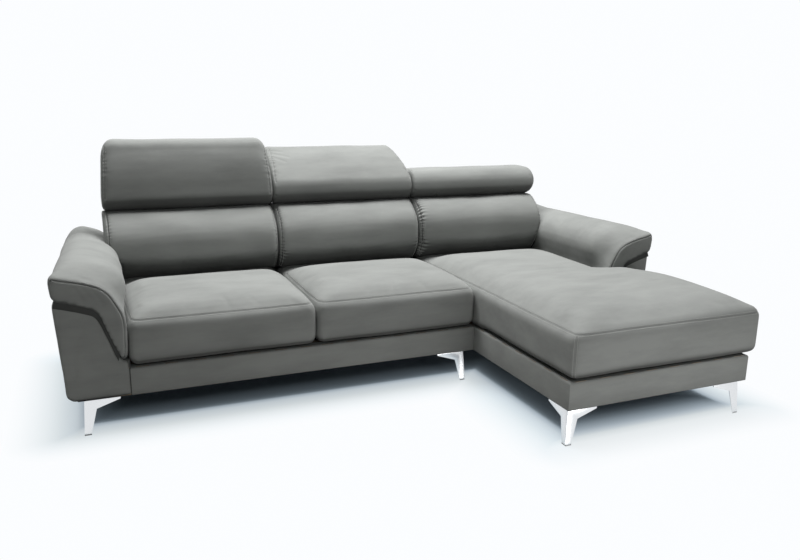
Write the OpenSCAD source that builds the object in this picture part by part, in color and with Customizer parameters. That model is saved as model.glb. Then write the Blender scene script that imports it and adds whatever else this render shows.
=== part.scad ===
// Corner sofa: a two-seat unit with a left arm, and a chaise unit with a right arm.
// Each of the three backs carries a padded headrest on a pair of ratchet hinges.
// Millimetres, +X to the right as seen from the front, +Y towards the wall, +Z up.
// The origin is on the floor, at the centre of the sofa's overall width and depth.

/* [Two-seat unit] */
// Width of one seat
seat_w = 760; // [650:5:900]
// Depth from the face of the front rail to the rear panel
unit_d = 950; // [920:5:1050]
// Height of the seams at the top edges of the seat cushions
seam_h = 444; // [420:1:460]
// Rise of a seat cushion's crown above its seams
seat_crown = 34; // [5:1:45]
// How far the seat cushions overhang the base
lip = 12; // [5:1:25]

/* [Chaise] */
// Width of the chaise seat between the two-seat unit and the arm
chaise_w = 740; // [600:5:900]
// How far the chaise base stands out in front of the two-seat unit
chaise_out = 760; // [500:5:900]
// Rise of the chaise cushion's crown
chaise_crown = 44; // [5:1:55]
// How far the wide front of the chaise base stops short of the arm's outer edge
base_inset = 100; // [80:1:150]
// How far the chaise cushion stops short of the arm's outer edge
pad_inset = 59; // [30:1:90]

/* [Arms] */
// Width of an arm, measured over its pad
arm_w = 262; // [250:1:320]
// Height of the pad's outer edge at the front
arm_h = 640; // [620:1:660]
// How far the pad's top swells up behind its front
pad_swell = 46; // [0:1:60]
// How much higher still the pad's top climbs at its rear end
rear_climb = 22; // [0:1:40]
// How far an arm's foot stands in from the pad's outer edge
arm_taper = 28; // [10:1:60]
// Radius of the rounded edge along an arm's foot
arm_foot_r = 30; // [15:1:40]
// Thickness of the pad at its outer edge
arm_pad_t = 82; // [60:1:95]
// Distance from the arm's inner face to the bend in the seam under the pad
arm_bend = 100; // [85:1:120]
// Height of the tip where the pad's inner flap ends
flap_tip_h = 288; // [270:1:300]
// How far the pad stands proud of the arm's front
pad_proud = 15; // [5:1:25]

/* [Base and legs] */
// Height of the underside of the base above the floor
leg_h = 140; // [110:1:150]
// Height of the base rails
rail_h = 110; // [100:1:115]
// Thickness of the base timbers
rail_t = 22; // [18:1:30]
// Thickness of the padded covers on the base
cover_t = 5; // [3:0.5:8]
// Width of a strap of the seat webbing
strap_w = 50; // [40:1:60]
// Distance between the straps
strap_pitch = 96; // [80:1:130]
// Length of a metal leg's wing along the base
wing_l = 132; // [110:1:150]
// Height of a metal leg's wing at its tip
wing_tip_h = 7; // [4:0.5:12]
// Drop from the base to the elbow in a metal leg's edge
elbow_drop = 36; // [25:1:50]
// Distance of that elbow from the leg's corner
elbow_w = 45; // [35:1:55]
// Width of a metal leg's foot
foot_w = 26; // [18:1:34]
// Thickness of a metal leg's sheet
leg_t = 4; // [3:0.5:6]
// How far a metal leg's foot splays outward
leg_splay = 9; // [0:1:15]
// How far the left arm's leg stands in from the arm's rounded outer edge
arm_leg_in = 29; // [0:1:60]
// How far the leg at the middle of the sofa stands in from the unit's end
mid_leg_in = 55; // [30:1:80]
// How far the chaise's outer leg stands in from the end of its base
outer_leg_in = 45; // [10:1:80]
// Height of the glide under each foot
glide_h = 5; // [3:0.5:8]
// Diameter of a rear leg at the top
rear_leg_d = 50; // [40:1:56]
// Diameter of a rear leg at the foot
rear_foot_d = 36; // [28:1:40]

/* [Backs] */
// Height of the back frame
back_h = 740; // [720:1:760]
// Depth of the back frame at its top
back_top_d = 120; // [115:1:135]
// Depth of the back frame at the base
back_foot_d = 205; // [190:1:225]
// Thickness of the plywood in the backs and arms
ply_t = 18; // [15:1:22]
// Depth of a back cushion where it rests on the seat
back_pad_d = 165; // [140:1:180]
// Depth of a back cushion's top in front of the back frame
back_pad_top = 92; // [80:1:100]
// How far the left back cushion and headrest reach out over the arm
left_reach = 44; // [0:1:65]
// How far the right back cushion and headrest reach out over the arm
right_reach = 36; // [0:1:65]

/* [Headrests] */
// Radius of the rolled end of a headrest
roll_r = 75; // [66:1:79]
// Distance from the hinge axis to the headrest's far edge
headrest_l = 267; // [230:1:320]
// Radius of the far edge
edge_r = 50; // [35:1:58]
// Radius of the two far corners, seen square to the headrest
corner_r = 62; // [40:1:80]
// How much a headrest narrows on each side by its far edge
narrowing = 18; // [0:1:35]
// Height of the hinge axis above the top of the back frame
pivot_up = 90; // [86:1:100]
// Distance of the hinge axis behind the front of the back cushion's top
pivot_in = 62; // [50:1:70]
// Tilt of the left headrest from lying flat, degrees
left_tilt = 85; // [0:1:85]
// Tilt of the middle headrest
middle_tilt = 44; // [0:1:85]
// Tilt of the right headrest
right_tilt = 0; // [0:1:85]
// Thickness of the plywood board inside a headrest
board_t = 12; // [9:1:15]

/* [Hinges] */
// Largest tilt that the hinges allow
max_tilt = 85; // [85:1:90]
// Radius of a hinge's pivot pin
pin_r = 4; // [3:0.5:5]
// Thickness of the hinge plates
plate_t = 3; // [2:0.5:4]
// Radius of a hinge's ratchet wheel over its teeth
ratchet_r = 20; // [17:0.5:22]
// Depth of the ratchet's teeth
tooth_h = 2.5; // [1.5:0.5:3.5]
// Number of teeth that a full turn of the ratchet would hold
teeth = 30; // [20:1:36]
// Width of the bar that carries the ratchet wheel
bar_w = 26; // [20:1:28]
// Distance of a hinge from the end of its headrest
hinge_in = 150; // [120:5:200]

/* [Hidden] */
$fn = 48;

// Colours
fabric = [0.47, 0.47, 0.45];
polished = [0.86, 0.87, 0.88];
timber = [0.80, 0.66, 0.46];
webbing = [0.36, 0.30, 0.24];
black = [0.12, 0.12, 0.13];
zinc = [0.62, 0.63, 0.65];

// Clearance between neighbouring soft pieces, and over what they rest on
gap = 0.4;
// Clearance between neighbouring headrests and back cushions, on each side
side_gap = 2;
// Clearance of a running fit, on the radius
run = 0.05;

// Places across the sofa
sofa_w = 2 * arm_w + 2 * seat_w + chaise_w;
x_left = -sofa_w / 2 + arm_w;
x_mid = x_left + seat_w;
x_join = x_mid + seat_w;
x_right = x_join + chaise_w;
x_base_end = sofa_w / 2 - base_inset;
x_pad_end = sofa_w / 2 - pad_inset;

// Places in height
dust_t = 1;
strap_t = 2;
base_top = leg_h + rail_h;
deck = base_top + strap_t;
leg_top = leg_h - dust_t;
flap_foot = flap_tip_h - 4;

// Places in depth, from the face of the two-seat unit's front rail
chaise_front = -chaise_out;
pad_front = chaise_front - lip;
back_y = unit_d - cover_t;
back_foot_y = unit_d - back_foot_d;
back_top_y = unit_d - back_top_d;
back_slope = (back_top_y - back_foot_y) / (back_h - base_top);
pillow_top_y = back_top_y - back_pad_top;
pivot_y = pillow_top_y + pivot_in;
pivot_z = back_h + pivot_up;
y_mid = (pivot_y + headrest_l + pad_front) / 2;

// The front of the back frame at a height, and of the back cushions where they rest
function frame_y(z) = back_foot_y + back_slope * (z - base_top);
pillow_foot_y = frame_y(seam_h) - back_pad_d;

// Moves a piece from the face of the front rail to the middle of the sofa's depth
module in_frame() {
    translate([0, -y_mid, 0]) children();
}

// Evenly spread values, ends included
function steps(from, to, count) = [for (i = [0:count - 1]) from + (to - from) * i / (count - 1)];

// Evenly spread values between two ends that are left out
function between(from, to, count) = [for (i = [1:count]) from + (to - from) * i / (count + 1)];

// 1 in the middle of a span, falling to 0 at both its ends
function dome(t, power) = 1 - pow(abs(2 * min(1, max(0, t)) - 1), power);

// A smooth climb from 0 to 1
function ease(t) = let (u = min(1, max(0, t))) u * u * (3 - 2 * u);

function backwards(list) = [for (i = [len(list) - 1:-1:0]) list[i]];

// Points on a circle
function arc(c, r, from, to, count) = [for (a = steps(from, to, count)) c + r * [cos(a), sin(a)]];

// Points along a smooth curve through a few chosen ones
function curve(p, count) = [
    for (t = steps(0, len(p) - 1, count))
        let (
            i = min(floor(t), len(p) - 2),
            u = t - i,
            a = p[max(i - 1, 0)],
            b = p[i],
            c = p[i + 1],
            d = p[min(i + 2, len(p) - 1)]
        )
        b + u * ((c - a) / 2 + u * (a - 2.5 * b + 2 * c - d / 2 + u * (1.5 * (b - c) + (d - a) / 2)))
];

// A section drawn in by d on every side
function drawn_in(points, d) = let (
    lo = [for (k = [0:1]) min([for (p = points) p[k]])],
    hi = [for (k = [0:1]) max([for (p = points) p[k]])],
    c = (lo + hi) / 2,
    h = (hi - lo) / 2
) [for (p = points) [for (k = [0:1]) c[k] + (p[k] - c[k]) * (h[k] - d) / h[k]]];

// Stations along a length with rounded ends: [place, how far the section draws in]
function rounded_run(from, to, r, turns, middles) = concat(
    [for (a = steps(0, 90, turns)) [from + r * (1 - cos(a)), r * (1 - sin(a))]],
    [for (place = middles) [place, 0]],
    [for (a = steps(90, 0, turns)) [to - r * (1 - cos(a)), r * (1 - sin(a))]]
);

// A closed solid along X through a row of rings. Each ring runs out along one side
// of its section and back along the other, and a strip of triangles closes each end.
module loft(rings) {
    n = len(rings[0]);
    last = (len(rings) - 1) * n;
    skin = [
        for (i = [0:len(rings) - 2], j = [0:n - 1])
            let (a = i * n + j, b = i * n + (j + 1) % n)
            each [[a, b, b + n], [a, b + n, a + n]]
    ];
    ends = [
        for (j = [0:n / 2 - 2])
            let (p = j, q = j + 1, r = n - 2 - j, s = n - 1 - j)
            each [
                [p, r, q], [p, s, r],
                [last + p, last + q, last + r], [last + p, last + r, last + s]
            ]
    ];
    polyhedron([for (ring = rings) each ring], concat(skin, ends));
}

// A loft whose sections stand across Y. Their first coordinate runs to the left of x0.
module loft_y(x0, rings) {
    translate([x0, 0, 0]) rotate([0, 0, 90]) loft(rings);
}

function ring_at(x, points) = [for (p = points) [x, p[0], p[1]]];

// Stands an outline in the Y-Z plane and gives it a thickness along X
module side_plate(x0, x1, points) {
    translate([x0, 0, 0]) rotate([90, 0, 90]) linear_extrude(x1 - x0) polygon(points);
}

// Stands an outline of the left arm across Y; its first coordinate runs to the left
module arm_plate(y0, y1, points) {
    translate([x_left, y1, 0]) rotate([90, 0, 0]) linear_extrude(y1 - y0)
        polygon([for (p = points) [-p[0], p[1]]]);
}

module block(low, high) {
    translate(low) cube(high - low);
}

// A cylinder along X, Y or Z between two places on its axis
module rod_x(p, x1, r) {
    translate(p) rotate([0, 90, 0]) cylinder(r = r, h = x1 - p[0]);
}

module rod_z(p, z1, r) {
    translate(p) cylinder(r = r, h = z1 - p[2]);
}

// Where things are

// Base rails: the seat's rear rail carries the back ends of the straps
rail_front_y = cover_t;
rail_back_y = back_y - rail_t;
seat_rail_y = back_foot_y - rail_t;
step_y = -gap;
step_rail_y = step_y - cover_t - rail_t;
chaise_rail_y = chaise_front + cover_t;
chaise_rail_x = x_join + cover_t;
chaise_rail_end = x_base_end - cover_t;

// The flat underside of an arm, measured outward from its inner face
foot_flat = arm_w - arm_taper - arm_foot_r;

// Metal legs: [corner, direction of the wing along the front, what it stands under]
left_arm_corner = [x_left - foot_flat + arm_leg_in, 0];
sofa_corner = [x_join - mid_leg_in, 0];
chaise_corner = [x_join, chaise_front];
outer_corner = [x_base_end - outer_leg_in, chaise_front];
leg_places = [
    [left_arm_corner, 1],
    [sofa_corner, -1],
    [chaise_corner, 1],
    [outer_corner, -1]
];

// Rear legs
rear_in = rear_leg_d / 2 + 30;
rear_leg_y = unit_d - rear_in;
sofa_rear_places = [x_left - foot_flat + rear_in, x_join - rear_in];
chaise_rear_places = [x_join + rear_in, x_right + foot_flat - rear_in];

// Screws that hold the metal legs, measured from a leg's corner
leg_plate_t = 3;
leg_plate_w = 104;
leg_screw_in = cover_t + rail_t / 2;
leg_screw_far = leg_plate_w - 14;
leg_screw_places = [
    [leg_screw_in, leg_screw_in],
    [leg_screw_far, leg_screw_in],
    [leg_screw_in, leg_screw_far]
];
screw_r = 2;
leg_screw_l = 16;

// Bolts through the base rails: to the arms, and between the two units
bolt_r = 4;
bolt_head_r = 7;
bolt_head_t = 5;
bolt_z = leg_h + rail_h * 0.6;
bolt_ys = [unit_d * 0.2, unit_d * 0.62, unit_d * 0.9];

// Headrests: [left end, right end, tilt]
left_headrest = [x_left - left_reach, x_mid - side_gap, left_tilt];
middle_headrest = [x_mid + side_gap, x_join - side_gap, middle_tilt];
right_headrest = [x_join + side_gap, x_right + right_reach, right_tilt];
headrests = [left_headrest, middle_headrest, right_headrest];
function hinge_xs(h) = [h[0] + hinge_in, h[1] - hinge_in];

// Hinges, measured across from the middle of the ratchet wheel
cheek_gap = 0.4;
cheek_in = plate_t / 2 + cheek_gap;
cheek_out = cheek_in + plate_t;
cheek_r = ratchet_r + 8;
flange_l = 84;
flange_w = 40;
pin_head_t = 2;
pin_end = cheek_out + cheek_gap + pin_head_t;
hinge_room = 0.6;

// The bar of a hinge leans from the pivot back to its foot on the back frame
bracket_foot_d = 70;
bracket_foot_w = 44;
bracket_foot_y = (back_top_y + unit_d) / 2 - 4;
bar_angle = atan2(back_h - pivot_z, bracket_foot_y - pivot_y);
bar_foot = bar_w / 2 / sin(-bar_angle);
bracket_screw_ys = [bracket_foot_y - 24, bracket_foot_y + 24];
bracket_screw_x = 13;
bracket_screw_l = 18;
screw_head_r = 4;
screw_head_t = 2.2;

// Base of the two-seat unit

module sofa_front_rail() {
    color(timber) in_frame() difference() {
        block([x_left, rail_front_y, leg_h], [x_join, rail_front_y + rail_t, base_top]);
        leg_screws_cut();
    }
}

module sofa_back_rail() {
    color(timber) in_frame()
        block([x_left, rail_back_y, leg_h], [x_join, back_y, base_top]);
}

// End rails, a middle rail and the seat's rear rail
module sofa_inner_rails() {
    color(timber) in_frame() difference() {
        union() {
            for (x = [x_left, x_mid - rail_t / 2, x_join - rail_t])
                block([x, rail_front_y + rail_t, leg_h], [x + rail_t, rail_back_y, base_top]);
            block([x_left, seat_rail_y, leg_h], [x_join, seat_rail_y + rail_t, base_top]);
        }
        bolts_cut();
    }
}

// Blocks that the legs under the unit's right end are screwed to
module sofa_corner_blocks() {
    color(timber) in_frame() difference() {
        union() {
            block(
                [sofa_corner[0] - leg_plate_w, rail_front_y + rail_t, leg_h],
                [x_join - rail_t, leg_plate_w, leg_h + rail_t]
            );
            block(
                [x_join - 2 * rear_in, rear_leg_y - rear_in, leg_h],
                [x_join - rail_t, rail_back_y, leg_h + rail_t]
            );
        }
        leg_screws_cut();
    }
}

module sofa_base_cover() {
    color(fabric) in_frame() {
        block([x_left, 0, leg_h], [x_join, cover_t, base_top]);
        block([x_left, back_y, leg_h], [x_join, unit_d, base_top]);
    }
}

// Woven straps over one seat, between two rails across and two along
module straps(x0, x1, y0, y1, cross_from) {
    across = floor((x1 - x0 - strap_w) / strap_pitch);
    along = floor((y1 - cross_from - strap_w) / strap_pitch);
    for (x = steps(x0 + rail_t, x1 - rail_t - strap_w, across))
        block([x, y0, base_top], [x + strap_w, y1, deck]);
    for (y = steps(cross_from + rail_t, y1 - rail_t - strap_w, along))
        block([x0, y, base_top], [x1, y + strap_w, deck]);
}

module sofa_seat_webbing() {
    color(webbing) in_frame() {
        straps(x_left, x_mid, rail_front_y, seat_rail_y + rail_t, rail_front_y);
        straps(x_mid, x_join, rail_front_y, seat_rail_y + rail_t, rail_front_y);
    }
}

// Thin black cloth over the underside of the base and the arm
module sofa_dust_cover() {
    color(black) in_frame() difference() {
        block([x_left - foot_flat, 0, leg_top], [x_join, unit_d, leg_h]);
        leg_screws_cut();
    }
}

// Base of the chaise unit

module chaise_front_rail() {
    color(timber) in_frame() difference() {
        block(
            [chaise_rail_x, chaise_rail_y, leg_h],
            [chaise_rail_end, chaise_rail_y + rail_t, base_top]
        );
        leg_screws_cut();
    }
}

module chaise_back_rail() {
    color(timber) in_frame()
        block([chaise_rail_x, rail_back_y, leg_h], [x_right, back_y, base_top]);
}

// Long left rail, two right rails, and the rails across
module chaise_inner_rails() {
    front = chaise_rail_y + rail_t;
    color(timber) in_frame() difference() {
        union() {
            block([chaise_rail_x, front, leg_h], [chaise_rail_x + rail_t, rail_back_y, base_top]);
            block([chaise_rail_end - rail_t, front, leg_h], [chaise_rail_end, step_rail_y, base_top]);
            block([x_right - rail_t, step_rail_y, leg_h], [x_right, rail_back_y, base_top]);
            block(
                [chaise_rail_x, step_rail_y, leg_h],
                [chaise_rail_end, step_rail_y + rail_t, base_top]
            );
            block([chaise_rail_x, seat_rail_y, leg_h], [x_right, seat_rail_y + rail_t, base_top]);
        }
        bolts_cut();
        leg_screws_cut();
    }
}

module chaise_corner_blocks() {
    inside = chaise_rail_x + rail_t;
    front = chaise_rail_y + rail_t;
    color(timber) in_frame() difference() {
        union() {
            block(
                [inside, front, leg_h],
                [x_join + leg_plate_w, chaise_front + leg_plate_w, leg_h + rail_t]
            );
            block(
                [outer_corner[0] - leg_plate_w, front, leg_h],
                [chaise_rail_end - rail_t, chaise_front + leg_plate_w, leg_h + rail_t]
            );
            block(
                [inside, rear_leg_y - rear_in, leg_h],
                [x_join + 2 * rear_in, rail_back_y, leg_h + rail_t]
            );
        }
        leg_screws_cut();
    }
}

// The cover goes round every face of the base but the one at the arm
module chaise_base_cover() {
    outer = [
        [x_join, chaise_front], [x_base_end, chaise_front], [x_base_end, step_y],
        [x_right, step_y], [x_right, unit_d], [x_join, unit_d]
    ];
    inner = [
        [chaise_rail_x, chaise_rail_y], [chaise_rail_end, chaise_rail_y],
        [chaise_rail_end, step_y - cover_t], [x_right + gap, step_y - cover_t],
        [x_right + gap, back_y], [chaise_rail_x, back_y]
    ];
    color(fabric) in_frame() difference() {
        translate([0, 0, leg_h]) linear_extrude(rail_h) difference() {
            polygon(outer);
            polygon(inner);
        }
        bolts_cut();
    }
}

module chaise_seat_webbing() {
    color(webbing) in_frame() {
        straps(chaise_rail_x, chaise_rail_end, chaise_rail_y, step_rail_y + rail_t, chaise_rail_y);
        straps(chaise_rail_x, x_right, step_rail_y + rail_t, seat_rail_y + rail_t, step_rail_y + rail_t);
    }
}

module chaise_dust_cover() {
    color(black) in_frame() difference() {
        union() {
            block([x_join, chaise_front, leg_top], [x_base_end, step_y, leg_h]);
            block([x_join, step_y, leg_top], [x_right + foot_flat, unit_d, leg_h]);
        }
        leg_screws_cut();
    }
}

// Back frames: plywood uprights, boards between them, and the padded cover

// The side view of a back, drawn in by d
function back_outline(d) = [
    [frame_y(base_top) + d * 1.05, base_top],
    [unit_d - d, base_top],
    [unit_d - d, back_h - d],
    [frame_y(back_h - d) + d * 1.05, back_h - d]
];

module uprights(x0, x1, count) {
    color(timber) in_frame() for (x = steps(x0, x1 - ply_t, count))
        side_plate(x, x + ply_t, back_outline(cover_t));
}

// Boards between the uprights: at the top, and low at the front and the rear
module back_boards(x0, x1, count) {
    xs = steps(x0, x1 - ply_t, count);
    top = back_h - cover_t;
    low = 90;
    color(timber) in_frame() difference() {
        for (i = [0:count - 2]) {
            from = xs[i] + ply_t;
            to = xs[i + 1];
            block([from, frame_y(top) + cover_t * 1.05, top - ply_t], [to, back_y, top]);
            block([from, back_y - ply_t, base_top], [to, back_y, base_top + low]);
            block(
                [from, back_foot_y + back_slope * low + cover_t * 1.05, base_top],
                [to, back_foot_y + back_slope * low + cover_t * 1.05 + ply_t, base_top + low]
            );
        }
        bracket_screws_cut();
    }
}

// The padding and cloth round a back frame, with the frame's own shape left out of it
module back_cover(x0, x1, count) {
    r = 12;
    outline = back_outline(0);
    color(fabric) in_frame() difference() {
        side_plate(x0, x1, concat(
            [outline[0], outline[1]],
            arc(outline[2] - [r, r], r, 0, 90, 5),
            arc(outline[3] + [r, -r], r, 90, 170, 5)
        ));
        translate([0, y_mid, 0]) children();
        bracket_screws_cut();
    }
}

module sofa_back_uprights() {
    uprights(x_left, x_join, 3);
}

module sofa_back_boards() {
    back_boards(x_left, x_join, 3);
}

module sofa_back_cover() {
    back_cover(x_left, x_join, 3) {
        sofa_back_uprights();
        sofa_back_boards();
    }
}

module chaise_back_uprights() {
    uprights(x_join, x_right, 2);
}

module chaise_back_boards() {
    back_boards(x_join, x_right, 2);
}

module chaise_back_cover() {
    back_cover(x_join, x_right, 2) {
        chaise_back_uprights();
        chaise_back_boards();
    }
}

// Arms, drawn for the left one: outward from its inner face, and up from the floor

pad_low = arm_h - arm_pad_t;
elbow = [arm_bend, pad_low - 55];

// The edge where pad and body meet, from the tip of the flap out to the pad's outer side
seam_edge = [
    [26, flap_tip_h + 4], [46, 350], [72, 430], elbow,
    elbow + [47, 25], [arm_w - 30, pad_low - 4], [arm_w - 6, pad_low]
];

// The upper face of the pad, from the tip of the flap up the inner side and outward
pad_face = [
    [13, flap_tip_h], [3, flap_tip_h + 22], [0, 380], [0, 446], [10, arm_h - 152], [28, arm_h - 114],
    [52, arm_h - 76], [86, arm_h - 48], [140, arm_h - 27], [arm_w - 45, arm_h - 8],
    [arm_w - 14, arm_h], [arm_w - 1, arm_h - 14], [arm_w, arm_h - 36]
];

function held(points) = [for (p = points) [min(arm_w, max(0, p[0])), p[1]]];

// How far the pad's top stands above its shape at the front, for a point at a depth
function swell(y, p) = ease((p[1] - arm_h + 200) / 120) * (
    pad_swell * dome((p[0] + 10) / arm_w, 2) * ease((y + pad_proud) / 110)
    + rear_climb * ease(p[0] / 80) * ease((y - unit_d + 150) / 90)
);

// The seam is shared with the arm's body below
seam_points = curve(seam_edge, 16);

function pad_section(y) = let (face = held(curve(pad_face, 18))) concat(
    [for (p = face) p + [0, swell(y, p)]],
    backwards(concat([[20, flap_tip_h]], seam_points, [[arm_w - 1, pad_low + 14]]))
);

function body_section() = concat(
    [[0, leg_h], [0, flap_foot - 40], [0, flap_foot - 6], [16, flap_foot - 3]],
    [for (p = seam_points) p + [0.6, -0.8]],
    backwards(concat(
        arc([foot_flat, leg_h + arm_foot_r], arm_foot_r, 270, 352, 7),
        curve([
            [arm_w - arm_taper + 3, leg_h + arm_foot_r + 24],
            [arm_w - arm_taper * 0.5, (leg_h + pad_low) / 2 + 10],
            [arm_w - 5, pad_low - 36],
            [arm_w - 4, pad_low - 10]
        ], len(seam_points) - 3)
    ))
);

module left_arm_pad() {
    front = [for (a = steps(0, 90, 3)) [9 * (1 - cos(a)) - pad_proud, 7 * (1 - sin(a))]];
    rest = [for (y = [24, 90, unit_d * 0.4, unit_d - 150, unit_d - 60, unit_d]) [y, 0]];
    color(fabric) in_frame() loft_y(x_left, [
        for (s = concat(front, rest)) ring_at(s[0], drawn_in(pad_section(s[0]), s[1]))
    ]);
}

// Five plywood panels on a floor board, an inner board and a batten under the pad.
// The space that it takes in the padding runs on past its bare inner side and underside.
module arm_frame(bare_side = 0) {
    in = -bare_side;
    low = leg_h - bare_side;
    board_w = foot_flat - 3;
    panel = [
        [in, low], [board_w, low], [board_w, leg_h + 8], [arm_w - arm_taper - 9, leg_h + arm_foot_r + 12],
        [arm_w - 24, pad_low - 48], [arm_w - 40, pad_low - 24], elbow + [12, -20],
        [30, flap_foot - 30], [in, flap_foot - 30]
    ];
    floor_board = [[in, low], [board_w, low], [board_w, leg_h + ply_t], [in, leg_h + ply_t]];
    inner_board = [[in, low], [ply_t, low], [ply_t, base_top], [in, base_top]];
    batten = [
        [arm_w - 74, pad_low - 66], [arm_w - 34, pad_low - 66],
        [arm_w - 34, pad_low - 48], [arm_w - 74, pad_low - 48]
    ];
    for (y = steps(cover_t, back_y - ply_t, 5)) arm_plate(y, y + ply_t, panel);
    arm_plate(cover_t, back_y, floor_board);
    arm_plate(cover_t, back_y, inner_board);
    arm_plate(cover_t, back_y, batten);
}

module arm_cover() {
    stations = [[0, 3], [1, 1], [4, 0], [unit_d - 4, 0], [unit_d - 1, 1], [unit_d, 3]];
    difference() {
        loft_y(x_left, [
            for (s = stations) ring_at(s[0], drawn_in(body_section(), s[1]))
        ]);
        arm_frame(bare_side = 2);
    }
}

module left_arm_cover() {
    color(fabric) in_frame() difference() {
        arm_cover();
        bolts_cut();
        leg_screws_cut();
    }
}

module left_arm_frame() {
    color(timber) in_frame() difference() {
        arm_frame();
        bolts_cut();
        leg_screws_cut();
    }
}

module right_arm_pad() {
    mirror([1, 0, 0]) left_arm_pad();
}

module right_arm_cover() {
    color(fabric) in_frame() difference() {
        mirror([1, 0, 0]) arm_cover();
        bolts_cut();
    }
}

module right_arm_frame() {
    color(timber) in_frame() difference() {
        mirror([1, 0, 0]) arm_frame();
        bolts_cut();
    }
}

// Seat cushions

cushion_foot = deck + gap;
cushion_back = back_foot_y - gap;

// The side view of a seat cushion whose crown is raised by a share of its full rise
function seat_section(front, share) = let (
    low_r = 13,
    top_r = 15,
    face = front + 3,
    mid_z = (cushion_foot + seam_h) / 2,
    crown_end = pillow_foot_y - 6,
    upper = concat(
        arc([face + low_r, cushion_foot + low_r], low_r, 265, 185, 3),
        [[front, mid_z]],
        arc([face + top_r, seam_h - top_r], top_r, 175, 95, 3),
        [for (t = [0.07, 0.2, 0.45, 0.7, 0.9, 1])
            let (y = face + top_r + (crown_end - face - top_r) * t)
            [y, seam_h + seat_crown * share * dome(t, 3)]],
        arc([cushion_back - top_r, seam_h - top_r], top_r, 90, 0, 3)
    )
) concat(
    upper,
    backwards([for (y = steps(face + low_r + 6, cushion_back, len(upper))) [y, cushion_foot]])
);

module seat_cushion(x0, x1) {
    color(fabric) in_frame() loft([
        for (s = rounded_run(x0 + gap, x1 - gap, 22, 3, between(x0 - 40, x1 + 40, 5)))
            let (share = dome((s[0] - x0) / (x1 - x0), 6))
            ring_at(s[0], drawn_in(seat_section(-lip, share), s[1]))
    ]);
}

module left_seat_cushion() {
    seat_cushion(x_left, x_mid);
}

module middle_seat_cushion() {
    seat_cushion(x_mid, x_join);
}

// The front view of the chaise cushion, from its right edge to its left one
function chaise_section(left, right, rise) = let (
    r = 16,
    width = right - left,
    high = seam_h - r,
    low = cushion_foot + 12,
    upper = concat(
        arc([12, low], 12, 265, 185, 2),
        arc([r, high], r, 175, 95, 3),
        [for (t = [0.03, 0.09, 0.22, 0.5, 0.78, 0.91, 0.97])
            [r + (width - 2 * r) * t, seam_h + rise * dome(t, 8)]],
        arc([width - r, high], r, 85, 5, 3)
    )
) concat(
    upper,
    backwards([for (u = steps(20, width, len(upper)))
        [u, cushion_foot + (u == width ? 12 : 0)]])
);

// The chaise cushion turns in behind its wide front, where the arm begins
module chaise_seat_cushion() {
    left = x_join + gap;
    turn = -pad_proud - 4;
    stations = concat(
        [for (a = steps(0, 90, 4)) [pad_front + 22 * (1 - cos(a)), 22 * (1 - sin(a)), x_pad_end]],
        [for (y = [pad_front + 60, pad_front + 160, pad_front / 2, turn - 60]) [y, 0, x_pad_end]],
        [[turn - 12, 0, x_pad_end - 1], [turn - 3, 2, x_pad_end - 4]],
        [[turn, 4, x_right - gap], [turn + 30, 0, x_right - gap]],
        [for (y = [turn + 230, pillow_foot_y - 90]) [y, 0, x_right - gap]],
        [for (y = [pillow_foot_y - 6, cushion_back - 22]) [y, 0, x_right - gap]],
        [for (a = steps(60, 0, 3)) [cushion_back - 22 * (1 - cos(a)), 22 * (1 - sin(a)), x_right - gap]]
    );
    length = pillow_foot_y - 6 - pad_front;
    color(fabric) in_frame() rotate([0, 0, 90]) loft([
        for (s = stations)
            let (
                rise = chaise_crown * dome((s[0] - pad_front) / length, 6),
                section = drawn_in(chaise_section(left, s[2], rise), s[1])
            )
            [for (p = section) [s[0], p[0] - s[2], p[1]]]
    ]);
}

// Back cushions

// The side view of a back cushion, from the seat up
function pillow_section(count) = let (
    foot = seam_h + gap,
    top = pivot_z - roll_r - 3,
    f = pillow_foot_y,
    t = pillow_top_y,
    rise = top - foot,
    front = curve([
        [f + 26, foot], [f + 4, foot + 16], [f - 5, foot + 0.22 * rise],
        [f + 0.14 * (t - f), foot + 0.48 * rise], [f + 0.5 * (t - f), foot + 0.72 * rise],
        [t - 12, top - 38], [t + 10, top - 10], [t + 46, top]
    ], count)
) concat(
    [for (p = front) [p[0], max(foot, min(top, p[1]))]],
    backwards([for (z = steps(foot, back_h - 2, count)) [frame_y(z) - gap, z]])
);

// Its upper half reaches out over the arm at its left or its right end
module back_cushion(x0, x1, left, right) {
    section = pillow_section(12);
    from = arm_h - 140;
    full = arm_h - 10;
    color(fabric) in_frame() loft([
        for (s = rounded_run(x0 + side_gap / 2, x1 - side_gap / 2, 24, 3, between(x0 - 60, x1 + 60, 5)))
            let (
                t = (s[0] - x0) / (x1 - x0),
                reach = right * ease(4 * t - 3) - left * ease(1 - 4 * t)
            )
            [for (p = drawn_in(section, s[1]))
                [s[0] + reach * ease((p[1] - from) / (full - from)), p[0], p[1]]]
    ]);
}

module left_back_cushion() {
    back_cushion(x_left, x_mid, left_reach, 0);
}

module middle_back_cushion() {
    back_cushion(x_mid, x_join, 0, 0);
}

module right_back_cushion() {
    back_cushion(x_join, x_right, 0, right_reach);
}

// Headrests, drawn lying flat from the hinge axis and then tilted about it

module tilted(tilt) {
    translate([0, pivot_y, pivot_z]) rotate([tilt, 0, 0]) children();
}

// The side view, from the rolled end to a far edge at a distance from the axis
function headrest_section(length) = let (
    far = [length - edge_r, 0],
    upper = concat(
        arc([0, 0], roll_r, 172, 88, 6),
        [for (t = [0.35, 0.7]) [far[0] * t, roll_r + (edge_r - roll_r) * t + 5 * dome(t, 2)]],
        arc(far, edge_r, 84, 8, 4)
    )
) concat(upper, backwards([for (p = upper) [p[0], -p[1]]]));

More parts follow.
